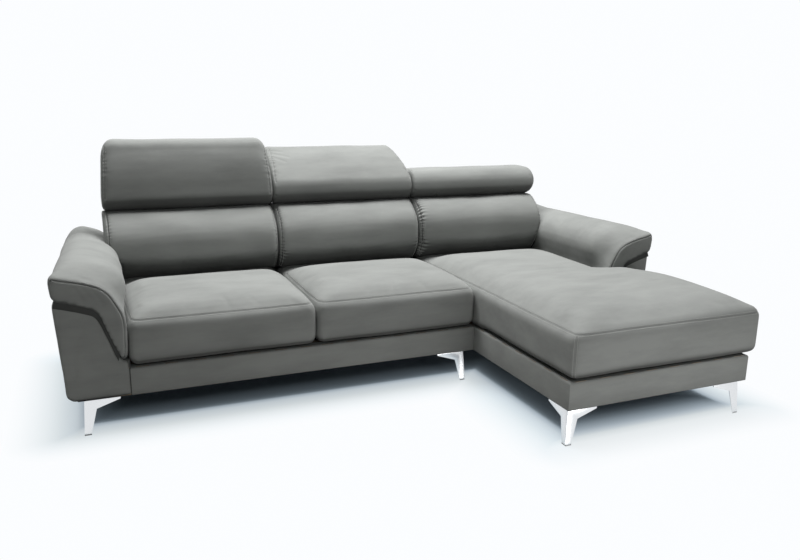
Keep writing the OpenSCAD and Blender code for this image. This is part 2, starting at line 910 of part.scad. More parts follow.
// The section at a station: shorter by the rounded far corners, and moved in where
// the headrest narrows
function headrest_ring(h, s) = let (
    in = corner_r - min(corner_r, s[0] - h[0], h[1] - s[0]),
    short = corner_r - sqrt(corner_r * corner_r - in * in),
    side = (2 * s[0] - h[0] - h[1]) / (h[1] - h[0])
) [
    for (p = drawn_in(headrest_section(headrest_l - short), s[1]))
        [s[0] - side * narrowing * max(0, p[0]) / headrest_l, p[0], p[1]]
];

board_near = cheek_r + 6;
board_far = headrest_l - edge_r;
board_end = 46;

module headrest_cushion(h) {
    color(fabric) in_frame() tilted(h[2]) difference() {
        loft([
            for (s = rounded_run(h[0], h[1], 28, 4, between(h[0] - 120, h[1] + 120, 5)))
                headrest_ring(h, s)
        ]);
        board(h);
        for (x = hinge_xs(h)) translate([x, 0, 0]) hinge_hollow();
    }
}

// The space that a hinge needs in the cushion: its bar sweeps a fan under the roll
module hinge_hollow() {
    half = bar_w / 2 + 2;
    width = plate_t + 5;
    from = bar_angle - max_tilt;
    side = half * [cos(bar_angle + 90), sin(bar_angle + 90)];
    other = half * [cos(from - 90), sin(from - 90)];
    reach = roll_r + 60;
    side_plate(-width / 2, width / 2, concat(
        [side, side + reach * [cos(bar_angle), sin(bar_angle)]],
        arc([0, 0], reach + 4, bar_angle, from, 7),
        [other + reach * [cos(from), sin(from)], other]
    ));
    rod_x([-pin_end - hinge_room, 0, 0], pin_end + hinge_room, cheek_r + hinge_room);
    hinge_tongue(-cheek_out, cheek_out);
    hinge_flange();
}

// A cheek runs on as a tongue to the flange that is screwed under the board
module hinge_tongue(x0, x1) {
    block([x0, 0, -cheek_r + 2], [x1, board_near + flange_l, -board_t / 2]);
}

module hinge_flange() {
    block(
        [-flange_w / 2, board_near + 4, -board_t / 2 - plate_t],
        [flange_w / 2, board_near + flange_l, -board_t / 2]
    );
}

module board(h) {
    block([h[0] + board_end, board_near, -board_t / 2], [h[1] - board_end, board_far, board_t / 2]);
}

module headrest_board(h) {
    color(timber) in_frame() tilted(h[2]) board(h);
}

// Two cheeks either side of the ratchet wheel, a pawl between them, and the flange
module hinge_arms(h) {
    color(zinc) in_frame() tilted(h[2]) for (x = hinge_xs(h)) translate([x, 0, 0]) difference() {
        union() {
            for (side = [-1, 1]) {
                from = side < 0 ? -cheek_out : cheek_in;
                rod_x([from, 0, 0], from + plate_t, cheek_r);
                hinge_tongue(from, from + plate_t);
            }
            hinge_flange();
            pawl();
        }
        rod_x([-pin_end, 0, 0], pin_end, pin_r + run);
    }
}

// The pawl stands over the wheel's teeth, on the side away from the bar
module pawl() {
    rotate([95, 0, 0]) side_plate(-cheek_in, cheek_in, [
        [ratchet_r + 0.6, -1], [ratchet_r + 7, -6], [ratchet_r + 7, 6], [ratchet_r + 2, 6]
    ]);
}

// A wheel with saw teeth on the bar, and a foot on top of the back frame
module hinge_brackets(h) {
    pitch = 360 / teeth;
    foot_z = back_h - pivot_z;
    foot_at = bracket_foot_y - pivot_y;
    color(zinc) in_frame() tilted(0) for (x = hinge_xs(h)) translate([x, 0, 0]) difference() {
        union() {
            side_plate(-plate_t / 2, plate_t / 2, [
                for (i = [0:teeth - 1])
                    each [
                        ratchet_r * [cos(i * pitch), sin(i * pitch)],
                        (ratchet_r - tooth_h) * [cos((i + 0.95) * pitch), sin((i + 0.95) * pitch)]
                    ]
            ]);
            side_plate(-plate_t / 2, plate_t / 2, [
                (bar_w / 2) * [cos(bar_angle + 90), sin(bar_angle + 90)],
                (bar_w / 2) * [cos(bar_angle - 90), sin(bar_angle - 90)],
                [foot_at - bar_foot, foot_z],
                [foot_at + bar_foot, foot_z]
            ]);
            block(
                [-bracket_foot_w / 2, foot_at - bracket_foot_d / 2, foot_z],
                [bracket_foot_w / 2, foot_at + bracket_foot_d / 2, foot_z + plate_t]
            );
        }
        rod_x([-pin_end, 0, 0], pin_end, pin_r);
        translate([-x, -pivot_y, -pivot_z]) bracket_screws_cut();
    }
}

module hinge_pins() {
    color(zinc) in_frame() tilted(0) for (h = headrests, x = hinge_xs(h)) {
        rod_x([x - pin_end + pin_head_t, 0, 0], x + pin_end - pin_head_t, pin_r);
        rod_x([x - pin_end, 0, 0], x - pin_end + pin_head_t, pin_r + 2);
        rod_x([x + pin_end - pin_head_t, 0, 0], x + pin_end, pin_r + 2);
    }
}

// Four screws in each hinge's foot
module at_bracket_screws() {
    for (h = headrests, x = hinge_xs(h), y = bracket_screw_ys, side = [-1, 1])
        translate([x + side * bracket_screw_x, y, back_h]) children();
}

module bracket_screws() {
    color(zinc) in_frame() at_bracket_screws() {
        rod_z([0, 0, -bracket_screw_l], plate_t, screw_r);
        rod_z([0, 0, plate_t], plate_t + screw_head_t, screw_head_r);
    }
}

module bracket_screws_cut() {
    at_bracket_screws() rod_z([0, 0, -bracket_screw_l], plate_t + 1, screw_r);
}

module left_headrest_cushion() {
    headrest_cushion(left_headrest);
}

module middle_headrest_cushion() {
    headrest_cushion(middle_headrest);
}

module right_headrest_cushion() {
    headrest_cushion(right_headrest);
}

module left_headrest_board() {
    headrest_board(left_headrest);
}

module middle_headrest_board() {
    headrest_board(middle_headrest);
}

module right_headrest_board() {
    headrest_board(right_headrest);
}

module left_hinge_arms() {
    hinge_arms(left_headrest);
}

module middle_hinge_arms() {
    hinge_arms(middle_headrest);
}

module right_hinge_arms() {
    hinge_arms(right_headrest);
}

module left_hinge_brackets() {
    hinge_brackets(left_headrest);
}

module middle_hinge_brackets() {
    hinge_brackets(middle_headrest);
}

module right_hinge_brackets() {
    hinge_brackets(right_headrest);
}

// Metal legs: two wings of sheet folded at the corner, under a screwed plate

// One wing, standing along the front and splayed towards the foot
module leg_wing() {
    drop = leg_top - glide_h;
    face = [
        [wing_l, 0], [0, 0], [0, -drop],
        [foot_w, -drop], [elbow_w, -elbow_drop], [wing_l, -wing_tip_h]
    ];
    loft([
        for (back = [0, leg_t])
            [for (p = face)
                let (out = leg_splay * p[1] / drop) [p[0] + out, back + out, p[1]]]
    ]);
}

// A leg whose corner is at the origin, with its front wing along +X and its side wing along +Y
module metal_leg() {
    drop = leg_top - glide_h;
    translate([0, 0, leg_top]) {
        leg_wing();
        mirror([1, -1, 0]) leg_wing();
        difference() {
            translate([0, 0, -leg_plate_t]) linear_extrude(leg_plate_t) polygon([
                [0, 0], [leg_plate_w, 0], [leg_plate_w, 30], [30, leg_plate_w], [0, leg_plate_w]
            ]);
            for (p = leg_screw_places) rod_z([p[0], p[1], -leg_plate_t - 1], 1, screw_r);
        }
        translate([-leg_splay, -leg_splay, -drop]) linear_extrude(leg_t)
            polygon([[0, 0], [foot_w, 0], [0, foot_w]]);
    }
}

module at_leg(i) {
    place = leg_places[i];
    translate([place[0][0], place[0][1], 0]) scale([place[1], 1, 1]) children();
}

module left_arm_leg() {
    color(polished) in_frame() at_leg(0) metal_leg();
}

module sofa_front_leg() {
    color(polished) in_frame() at_leg(1) metal_leg();
}

module chaise_corner_leg() {
    color(polished) in_frame() at_leg(2) metal_leg();
}

module chaise_outer_leg() {
    color(polished) in_frame() at_leg(3) metal_leg();
}

module rear_leg(x) {
    translate([x, rear_leg_y, glide_h])
        cylinder(r1 = rear_foot_d / 2, r2 = rear_leg_d / 2, h = leg_top - glide_h);
}

module sofa_rear_legs() {
    color(black) in_frame() for (x = sofa_rear_places) rear_leg(x);
}

module chaise_rear_legs() {
    color(black) in_frame() for (x = chaise_rear_places) rear_leg(x);
}

module leg_glides() {
    color(black) in_frame() {
        for (i = [0:len(leg_places) - 1]) at_leg(i) translate([-leg_splay, -leg_splay, 0])
            linear_extrude(glide_h) polygon([[0, 0], [foot_w, 0], [0, foot_w]]);
        for (x = concat(sofa_rear_places, chaise_rear_places))
            rod_z([x, rear_leg_y, 0], glide_h, rear_foot_d / 2 - 1);
    }
}

module at_leg_screws() {
    for (i = [0:len(leg_places) - 1]) at_leg(i) for (p = leg_screw_places)
        translate([p[0], p[1], leg_top]) children();
}

module leg_screws() {
    color(zinc) in_frame() at_leg_screws() {
        rod_z([0, 0, -leg_plate_t], leg_screw_l, screw_r);
        rod_z([0, 0, -leg_plate_t - screw_head_t], -leg_plate_t, screw_head_r);
    }
}

module leg_screws_cut() {
    at_leg_screws() rod_z([0, 0, -leg_plate_t - 1], leg_screw_l, screw_r);
}

// Bolts: three into each arm, and three between the units. [left end, right end]
bolt_spans = [
    [x_left - ply_t, x_left + rail_t],
    [x_join - rail_t, chaise_rail_x + rail_t],
    [x_right - rail_t, x_right + ply_t]
];

module frame_bolts() {
    color(zinc) in_frame() for (s = bolt_spans, y = bolt_ys) {
        rod_x([s[0], y, bolt_z], s[1], bolt_r);
        rod_x([s[0] - bolt_head_t, y, bolt_z], s[0], bolt_head_r);
        rod_x([s[1], y, bolt_z], s[1] + bolt_head_t, bolt_head_r);
    }
}

module bolts_cut() {
    for (s = bolt_spans, y = bolt_ys) {
        rod_x([s[0] - 1, y, bolt_z], s[1] + 1, bolt_r);
        rod_x([s[0] - bolt_head_t, y, bolt_z], s[0], bolt_head_r);
        rod_x([s[1], y, bolt_z], s[1] + bolt_head_t, bolt_head_r);
    }
}

sofa_front_rail();
sofa_back_rail();
sofa_inner_rails();
sofa_corner_blocks();
sofa_base_cover();
sofa_seat_webbing();
sofa_dust_cover();
sofa_back_uprights();
sofa_back_boards();
sofa_back_cover();
chaise_front_rail();
chaise_back_rail();
chaise_inner_rails();
chaise_corner_blocks();
chaise_base_cover();
chaise_seat_webbing();
chaise_dust_cover();
chaise_back_uprights();
chaise_back_boards();
chaise_back_cover();
left_arm_frame();
left_arm_cover();
left_arm_pad();
right_arm_frame();
right_arm_cover();
right_arm_pad();
left_seat_cushion();
middle_seat_cushion();
chaise_seat_cushion();
left_back_cushion();
middle_back_cushion();
right_back_cushion();
left_headrest_cushion();
middle_headrest_cushion();
right_headrest_cushion();
left_headrest_board();
middle_headrest_board();
right_headrest_board();
left_hinge_arms();
middle_hinge_arms();
right_hinge_arms();
left_hinge_brackets();
middle_hinge_brackets();
right_hinge_brackets();
hinge_pins();
bracket_screws();
left_arm_leg();
sofa_front_leg();
chaise_corner_leg();
chaise_outer_leg();
sofa_rear_legs();
chaise_rear_legs();
leg_glides();
leg_screws();
frame_bolts();
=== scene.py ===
import math

import bmesh
import bpy
import numpy as np
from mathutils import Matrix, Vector
from mathutils.bvhtree import BVHTree
from mathutils.kdtree import KDTree


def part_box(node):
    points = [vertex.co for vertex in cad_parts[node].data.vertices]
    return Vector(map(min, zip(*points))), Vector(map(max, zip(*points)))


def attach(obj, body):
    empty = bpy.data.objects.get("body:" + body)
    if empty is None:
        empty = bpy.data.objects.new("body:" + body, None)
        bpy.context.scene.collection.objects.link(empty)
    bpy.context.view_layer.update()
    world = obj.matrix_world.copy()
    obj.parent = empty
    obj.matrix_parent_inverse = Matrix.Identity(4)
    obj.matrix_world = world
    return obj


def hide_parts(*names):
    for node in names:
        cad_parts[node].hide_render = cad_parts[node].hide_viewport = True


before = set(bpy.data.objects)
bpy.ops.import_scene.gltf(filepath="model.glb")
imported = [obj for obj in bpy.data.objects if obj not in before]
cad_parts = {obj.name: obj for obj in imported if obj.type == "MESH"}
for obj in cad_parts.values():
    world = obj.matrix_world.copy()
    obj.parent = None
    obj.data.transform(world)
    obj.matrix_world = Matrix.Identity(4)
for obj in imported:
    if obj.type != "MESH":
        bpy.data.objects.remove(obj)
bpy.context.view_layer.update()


# Base frames: solid pine rails with corner blocks, glued and stapled into one box for
# the two-seat unit and a longer one for the chaise. Only the webbing and cloth hide them.

def node(tree, kind, given=(), **settings):
    """Adds a node to a tree. Its inputs take plain values or other nodes' outputs."""
    made = tree.nodes.new(kind)
    for name, value in settings.items():
        setattr(made, name, value)
    for socket, value in dict(given).items():
        if isinstance(value, bpy.types.NodeSocket):
            tree.links.new(value, made.inputs[socket])
        else:
            made.inputs[socket].default_value = value
    return made


def finish(name, colour, roughness, metallic=0.0, sockets=()):
    """A surface finish. What is the same all over is set on the shader's own sockets."""
    made = bpy.data.materials.new(name)
    made.use_nodes = True
    shader = made.node_tree.nodes["Principled BSDF"]
    values = [("Base Color", (*colour, 1)), ("Roughness", roughness), ("Metallic", metallic), *sockets]
    for socket, value in values:
        shader.inputs[socket].default_value = value
    return made


def pattern(material, kind, values=(), source=None, **settings):
    """Adds a texture or colour node that reads the piece's own place, or another node."""
    tree = material.node_tree
    if source is None:
        place = tree.nodes.get("Texture Coordinate") or tree.nodes.new("ShaderNodeTexCoord")
        source = place.outputs["Object"]
    return node(tree, kind, {0: source, **dict(values)}, **settings)


def give(material, source, socket):
    """Hands a node's output to the shader."""
    tree = material.node_tree
    tree.links.new(source, tree.nodes["Principled BSDF"].inputs[socket])


def tones(material, source, dark, light, low=0.3, high=0.7):
    """Spreads a pattern between two colours and gives it to the shader."""
    ramp = pattern(material, "ShaderNodeValToRGB", source=source)
    for mark, at, colour in zip(ramp.color_ramp.elements, (low, high), (dark, light)):
        mark.position, mark.color = at, (*colour, 1)
    give(material, ramp.outputs["Color"], "Base Color")
    return ramp.outputs["Color"]


def spread(material, source, low, high):
    """Spreads a pattern between two values of the shader's roughness."""
    span = pattern(material, "ShaderNodeMapRange", [("To Min", low), ("To Max", high)], source)
    give(material, span.outputs["Result"], "Roughness")


def relief(material, source, strength, depth):
    """Raises the surface by a pattern, on top of any relief that is there already."""
    given = {"Strength": strength, "Distance": depth, "Height": source}
    for link in material.node_tree.nodes["Principled BSDF"].inputs["Normal"].links:
        given["Normal"] = link.from_socket
    bump = node(material.node_tree, "ShaderNodeBump", given)
    give(material, bump.outputs["Normal"], "Normal")


def noise(material, scale, detail, *more, source=None):
    """Irregular flecks, as a value from 0 to 1."""
    values = [("Scale", scale), ("Detail", detail), *more]
    return pattern(material, "ShaderNodeTexNoise", values, source).outputs["Fac"]


def waves(material, scale, distortion, direction):
    """Bands one after another, as a value from 0 to 1."""
    values = [("Scale", scale), ("Distortion", distortion)]
    return pattern(material, "ShaderNodeTexWave", values, bands_direction=direction).outputs["Fac"]


def wood(name, dark, light, grain):
    """Wood whose grain runs along X or Z, as the stretch of its pattern says."""
    made = finish(name, light, 0.6)
    along = pattern(made, "ShaderNodeMapping", [("Scale", grain)]).outputs["Vector"]
    tones(made, noise(made, 14, 5, ("Distortion", 1.2), source=along), dark, light, 0.35, 0.65)
    pores = noise(made, 160, 2, source=along)
    spread(made, pores, 0.5, 0.72)
    relief(made, pores, 0.25, 0.0004)
    return made


def dress(material, *names):
    """Gives CAD nodes a finish."""
    for name in names:
        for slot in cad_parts[name].material_slots:
            slot.material = material


pine = wood("pine", (0.42, 0.27, 0.13), (0.66, 0.48, 0.28), (1, 9, 9))
for unit in ("sofa", "chaise"):
    dress(pine, f"{unit}_front_rail", f"{unit}_back_rail", f"{unit}_inner_rails", f"{unit}_corner_blocks")


# Seat webbing: woven elastic straps stapled across the rails, one over one under. The
# underside is closed with a thin black non-woven cloth, stapled under the rails.

webbing = finish("webbing", (0.26, 0.21, 0.16), 0.85)
ribs, picks = waves(webbing, 130, 0.4, "Y"), waves(webbing, 90, 0.4, "X")
tones(webbing, ribs, (0.14, 0.11, 0.08), (0.34, 0.28, 0.21), 0.1, 0.9)
relief(webbing, ribs, 0.5, 0.0006)
relief(webbing, picks, 0.4, 0.0005)
dress(webbing, "sofa_seat_webbing", "chaise_seat_webbing")

lining = finish("black_lining", (0.03, 0.03, 0.034), 0.92, sockets=[("Sheen Weight", 0.2)])
fibres = noise(lining, 420, 4, ("Roughness", 0.7))
tones(lining, fibres, (0.015, 0.015, 0.018), (0.06, 0.06, 0.066))
relief(lining, fibres, 0.5, 0.0004)


# Base covers: the grey cloth of the whole sofa, drawn tight over the rails of both bases
# and stapled underneath. A brushed cloth: soft streaks, a short nap and a faint sheen.

def number(tree, operation, *inputs):
    """An arithmetic node on numbers, and its result."""
    return node(tree, "ShaderNodeMath", enumerate(inputs), operation=operation).outputs[0]


def vector(tree, operation, *inputs):
    """An arithmetic node on vectors, and its result, which is a number for a distance."""
    made = node(tree, "ShaderNodeVectorMath", enumerate(inputs), operation=operation)
    return made.outputs["Value" if operation in ("DISTANCE", "LENGTH") else "Vector"]


def brushed_cloth(name, shade, axis=None):
    """The grey cloth. Its nap shows as soft streaks of tone along the piece. Its colour is
    painted darker where a surface turns to the floor: painted shade. On a piece that
    tilts, only the roll about its axis has that painted shade, so that it looks the same at every tilt."""
    dark = tuple(shade * c for c in (0.262, 0.271, 0.261))
    light = tuple(shade * c for c in (0.331, 0.341, 0.329))
    made = finish(name, light, 0.86, sockets=[
        ("Sheen Weight", 0.12), ("Sheen Roughness", 0.4), ("Specular IOR Level", 0.15)])
    along = pattern(made, "ShaderNodeMapping", [("Scale", (1.0, 2.2, 4.0))]).outputs["Vector"]
    streaks = noise(made, 3.2, 5, ("Roughness", 0.62), source=along)
    colour = tones(made, streaks, dark, light, 0.25, 0.62)
    tree = made.node_tree
    piece = tree.nodes["Texture Coordinate"].outputs
    # Painted shade: the colour is scaled down to 0.3 where the surface faces the floor.
    facing = node(tree, "ShaderNodeSeparateXYZ", {0: piece["Normal"]})
    painted_underside_shade = node(tree, "ShaderNodeMapRange", {
        "Value": facing.outputs["Z"], "From Min": -0.50, "From Max": 0.02, "To Min": 0.30, "To Max": 1.0},
        interpolation_type="SMOOTHSTEP").outputs["Result"]
    if axis:
        off = vector(tree, "DISTANCE", vector(tree, "MULTIPLY", piece["Object"], (0, 1, 1)), (0, *axis))
        beyond = node(tree, "ShaderNodeMapRange", {"Value": off, "From Min": 0.085, "From Max": 0.125})
        painted_underside_shade = number(tree, "MAXIMUM", beyond.outputs["Result"], painted_underside_shade)
    shaded = node(tree, "ShaderNodeVectorMath", {0: colour, "Scale": painted_underside_shade}, operation="SCALE")
    give(made, shaded.outputs["Vector"], "Base Color")
    nap = noise(made, 240, 3, ("Roughness", 0.6))
    spread(made, nap, 0.78, 0.94)
    relief(made, nap, 0.22, 0.0005)
    threads = pattern(made, "ShaderNodeTexVoronoi", [("Scale", 620)])
    relief(made, threads.outputs["Distance"], 0.18, 0.0004)
    return made


cloth = brushed_cloth("grey_cloth", 1.0)


def settle(piece):
    """Turns a piece with its modifiers into a plain mesh."""
    seen = piece.evaluated_get(bpy.context.evaluated_depsgraph_get())
    mesh = bpy.data.meshes.new_from_object(seen)
    piece.modifiers.clear()
    old, piece.data = piece.data, mesh
    bpy.data.meshes.remove(old)


def smooth(piece):
    piece.data.polygons.foreach_set("use_smooth", [True] * len(piece.data.polygons))


def place(name, data):
    piece = bpy.data.objects.new(name, data)
    bpy.context.scene.collection.objects.link(piece)
    return piece


def form_of(mesh):
    """A mesh opened to be worked on."""
    form = bmesh.new()
    form.from_mesh(mesh)
    return form


def made_from(name, form):
    """A piece with the mesh of a worked form, which is used up."""
    mesh = bpy.data.meshes.new(name)
    form.to_mesh(mesh)
    form.free()
    return place(name, mesh)


def solid(name, points, faces):
    """A piece from its points and faces, with the faces outwards."""
    mesh = bpy.data.meshes.new(name)
    mesh.from_pydata(points, [], faces)
    form = form_of(mesh)
    bpy.data.meshes.remove(mesh)
    bmesh.ops.recalc_face_normals(form, faces=form.faces)
    return made_from(name, form)


def eased(piece, width, turn, crease):
    """Rounds off every edge that turns by more than the given degrees."""
    round_off = piece.modifiers.new("Eased edges", "BEVEL")
    round_off.width, round_off.segments = width, 3
    round_off.limit_method, round_off.angle_limit = "ANGLE", math.radians(turn)
    settle(piece)
    smooth(piece)
    piece.data.set_sharp_from_angle(angle=math.radians(crease))
    return piece


def done(piece, material, slot, body, *stands_for):
    """The last step for a piece: its finish, the body it rides on, what it replaces. The slot is not used."""
    piece.data.materials.clear()
    piece.data.materials.append(material)
    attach(piece, body)
    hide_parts(*stands_for)
    return piece


def clad(piece, *stands_for, material=cloth):
    """The last step for a piece of grey cloth that stays with the sofa."""
    return done(piece, material, "grey_fabric", "sofa", *stands_for)


def eased_copy(source, name, width):
    """A copy of a hard-edged node with its edges rounded off."""
    form = form_of(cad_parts[source].data)
    bmesh.ops.remove_doubles(form, verts=form.verts, dist=1e-5)
    bmesh.ops.dissolve_limit(form, angle_limit=math.radians(2), verts=form.verts, edges=form.edges)
    return eased(made_from(name, form), width, 35, 38)


SOFA_LEFT, SEATS_MEET, CHAISE_LEFT, SOFA_RIGHT = -1.130, -0.370, 0.390, 1.130
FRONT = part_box("sofa_front_rail")[0].y - 0.005
DEPTH, UNDERSIDE, BASE_TOP = 0.950, 0.140, 0.250
CHAISE_FRONT, BASE_END = FRONT - 0.760, 1.292


def drawn_over(name, runs):
    """Cloth drawn over some rails: up their outer face, then in over the top, with mitred
    corners. Each run of corners has the rails on its left, and says how far in the cloth goes."""
    thick, bend, top, foot = 0.0049, 0.0103, BASE_TOP + 0.0021, UNDERSIDE - 0.0005
    turn = [(bend * (1 - math.cos(a)), top - bend * (1 - math.sin(a)))
            for a in np.radians((0, 20, 40, 60, 80))]
    points, faces = [], []
    for corners, inward in runs:
        p = np.array(corners, float)
        way = np.diff(p, axis=0)
        way /= np.linalg.norm(way, axis=1)[:, None]
        side = np.stack([-way[:, 1], way[:, 0]], 1)
        before, after = np.vstack([side[:1], side]), np.vstack([side, side[-1:]])
        mitre = (before + after) / (1 + (before * after).sum(1))[:, None]
        edge = [(0, foot), *turn, (0.0110, top), (inward, top), (inward, BASE_TOP + 0.0002),
                (thick, BASE_TOP + 0.0002), (thick, foot)]
        first, n = len(points), len(edge)
        points += [(*(p[i] + mitre[i] * a), z) for i in range(len(p)) for a, z in edge]
        for i in range(len(p) - 1):
            start, end = first + i * n, first + (i + 1) * n
            faces += [(start + j, start + (j + 1) % n, end + (j + 1) % n, end + j) for j in range(n)]
        faces += [tuple(start + j for j in range(n)) for start in (first, first + (len(p) - 1) * n)]
    return eased(solid(name, points, faces), 0.0016, 50, 40)


BACK = FRONT + DEPTH
clad(drawn_over("sofa_base_cloth", [
    ([(SOFA_LEFT + 0.0005, FRONT), (CHAISE_LEFT + 0.0040, FRONT)], 0.045),
    ([(CHAISE_LEFT, BACK), (SOFA_LEFT - 0.003, BACK)], 0.006)]), "sofa_base_cover")
clad(drawn_over("chaise_base_cloth", [
    ([(CHAISE_LEFT, FRONT + 0.05), (CHAISE_LEFT, CHAISE_FRONT), (BASE_END, CHAISE_FRONT),
      (BASE_END, FRONT - 0.0004), (SOFA_RIGHT, FRONT - 0.0004)], 0.045),
    ([(SOFA_RIGHT + 0.003, BACK), (CHAISE_LEFT, BACK)], 0.006)]), "chaise_base_cover")


# Legs: four of polished sheet metal, folded at the corner with a wing along each rail, and
# four turned black ones at the back, all on glides. Screws and bolts are plain zinc.

polished = finish("polished_metal", (0.76, 0.77, 0.78), 0.22, 1.0)
spread(polished, noise(polished, 22, 4), 0.18, 0.32)
relief(polished, noise(polished, 900, 2), 0.05, 0.0002)
for leg in ("left_arm_leg", "sofa_front_leg", "chaise_corner_leg", "chaise_outer_leg"):
    done(eased_copy(leg, f"{leg}_sheet", 0.0007), polished, "polished_metal", "sofa", leg)

black = finish("black_plastic", (0.022, 0.022, 0.024), 0.45)
moulding = noise(black, 380, 3)
tones(black, moulding, (0.016, 0.016, 0.018), (0.034, 0.034, 0.036))
spread(black, moulding, 0.38, 0.55)
relief(black, moulding, 0.2, 0.0003)
dress(black, "sofa_rear_legs", "chaise_rear_legs")
nylon = finish("pale_nylon", (0.62, 0.63, 0.64), 0.5)
spread(nylon, noise(nylon, 260, 2), 0.42, 0.6)
dress(nylon, "leg_glides")

zinc = finish("zinc_steel", (0.58, 0.59, 0.62), 0.34, 1.0)
spangle = pattern(zinc, "ShaderNodeTexVoronoi", [("Scale", 210)])
tones(zinc, spangle.outputs["Color"], (0.46, 0.47, 0.50), (0.68, 0.69, 0.72))
spread(zinc, spangle.outputs["Distance"], 0.26, 0.46)
dress(zinc, "leg_screws", "frame_bolts")


# Back frames: plywood uprights and boards screwed to the rear rails, under a padded cover
# of the same grey cloth that is sewn at the corners and stapled under the rail.

plywood = wood("plywood", (0.50, 0.36, 0.19), (0.70, 0.53, 0.32), (1.5, 8, 2))
relief(plywood, waves(plywood, 105, 0.3, "Y"), 0.15, 0.0003)
for unit in ("sofa", "chaise"):
    dress(plywood, f"{unit}_back_uprights", f"{unit}_back_boards")
    clad(eased_copy(f"{unit}_back_cover", f"{unit}_back_cloth", 0.004), f"{unit}_back_cover")


# Arms: a plywood frame in a padded body that narrows to its foot, and a separate pad with a
# front panel, laid over the top and folded down the inner side to a rounded tip.

ARM_WIDE, ARM_HIGH = 0.262, 0.640


def arc(centre, radius, start, end, count):
    """Points on an arc, between two angles in degrees."""
    turn = np.radians(np.linspace(start, end, count))
    return np.stack([centre[0] + radius * np.cos(turn), centre[1] + radius * np.sin(turn)], 1)


def through(points, count):
    """Points on a smooth curve through a few chosen ones."""
    p = np.array(points, float)
    at = np.linspace(0, len(p) - 1, count)
    i = np.minimum(at.astype(int), len(p) - 2)
    u = (at - i)[:, None]
    a, b, c, d = p[np.maximum(i - 1, 0)], p[i], p[i + 1], p[np.minimum(i + 2, len(p) - 1)]
    return b + u * ((c - a) / 2 + u * (a - 2.5 * b + 2 * c - d / 2 + u * (1.5 * (b - c) + (d - a) / 2)))


def dome(t, power):
    """1 in the middle of a span, falling to 0 at both its ends."""
    return 1 - np.abs(2 * np.clip(t, 0, 1) - 1) ** power


def climb(t):
    """A smooth climb from 0 to 1."""
    t = np.clip(t, 0, 1)
    return t * t * (3 - 2 * t)


def drawn_in(section, by):
    """A section drawn in on every side."""
    low, high = section.min(0), section.max(0)
    centre, half = (low + high) / 2, (high - low) / 2
    return centre + (section - centre) * (half - by) / half


def round_end(at, way, long, deep, turn):
    """Places along a rounded end, with how far the section draws in at each."""
    return [(at + way * long * (1 - math.cos(a)), deep * (1 - math.sin(a))) for a in turn]


def rounded_run(start, end, radius, count, last=None):
    """Places along a cushion with how far its section draws in there, at its rounded ends."""
    turn = np.radians(np.linspace(0, 90, 9))
    last = radius if last is None else last
    middle = [(m, 0.0) for m in np.linspace(start + radius, end - last, count)[1:-1]]
    return round_end(start, 1, radius, radius, turn) + middle + round_end(end, -1, last, last, turn[::-1])


def lofted(name, rings):
    """A closed skin over a row of rings, capped at both ends."""
    n, last = len(rings[0]), len(rings) - 1
    faces = [(i * n + j, i * n + (j + 1) % n, (i + 1) * n + (j + 1) % n, (i + 1) * n + j)
             for i in range(last) for j in range(n)]
    faces += [tuple(range(n)), tuple(last * n + j for j in range(n))]
    return solid(name, np.concatenate(rings).tolist(), faces)


def side_ring(x, section):
    """A side view as a ring across the sofa at x, which may differ from point to point."""
    return np.stack([x + np.zeros(len(section)), FRONT + section[:, 0], section[:, 1]], 1)


def arm_ring(y, section):
    """A front view of the left arm as a ring at y. It is measured outwards from the seats."""
    return np.stack([SOFA_LEFT - section[:, 0], np.full(len(section), FRONT + y), section[:, 1]], 1)


def read(values, field):
    """A field of a mesh's points, as rows of three."""
    flat = np.empty(len(values) * 3, np.float32)
    values.foreach_get(field, flat)
    return flat.reshape(-1, 3).astype(float)


def points_of(piece):
    return read(piece.data.vertices, "co")


def normals_of(piece):
    return read(piece.data.vertex_normals, "vector")


def move_to(piece, points):
    piece.data.vertices.foreach_set("co", points.astype(np.float32).ravel())
    piece.data.update()


def refine(piece):
    """One round of subdivision, kept in the mesh."""
    finer = piece.modifiers.new("Finer", "SUBSURF")
    finer.levels = finer.render_levels = 1
    settle(piece)
    smooth(piece)


def stuffed(piece, cell, gives, reach, ease=6, firm=None):
    """Fills a cushion: even cells of cloth, blown out over 20 frames. No point moves further
    than reach, and gives says how much of that each direction takes. Firm places stay sharp."""
    cells = piece.modifiers.new("Even cells", "REMESH")
    cells.mode = "VOXEL"
    cells.voxel_size = cell
    settle(piece)
    soften = piece.modifiers.new("Eased", "SMOOTH")
    soften.iterations = ease
    if firm is not None:
        loose = piece.vertex_groups.new(name="Loose")
        for i, share in enumerate(1 - firm(points_of(piece))):
            loose.add([i], float(share), "REPLACE")
        soften.vertex_group = "Loose"
    settle(piece)
    piece.vertex_groups.clear()
    before, outward = points_of(piece), normals_of(piece)
    filling = piece.modifiers.new("Filling", "CLOTH")
    filling.settings.quality = 4
    filling.settings.use_pressure = True
    filling.settings.uniform_pressure_force = 4
    filling.settings.effector_weights.gravity = 0
    filling.point_cache.frame_start, filling.point_cache.frame_end = 1, 20
    for step in range(1, 21):
        bpy.context.scene.frame_set(step)
    settle(piece)
    bpy.context.scene.frame_set(1)
    moved = points_of(piece) - before
    length = np.maximum(np.linalg.norm(moved, axis=1), 1e-9)
    moved *= np.minimum(1, reach / length)[:, None]
    share = sum(np.clip(outward @ np.array(way), 0, 1) * part for way, part in gives)
    move_to(piece, before + moved * np.minimum(1, share)[:, None])
    refine(piece)
    return piece


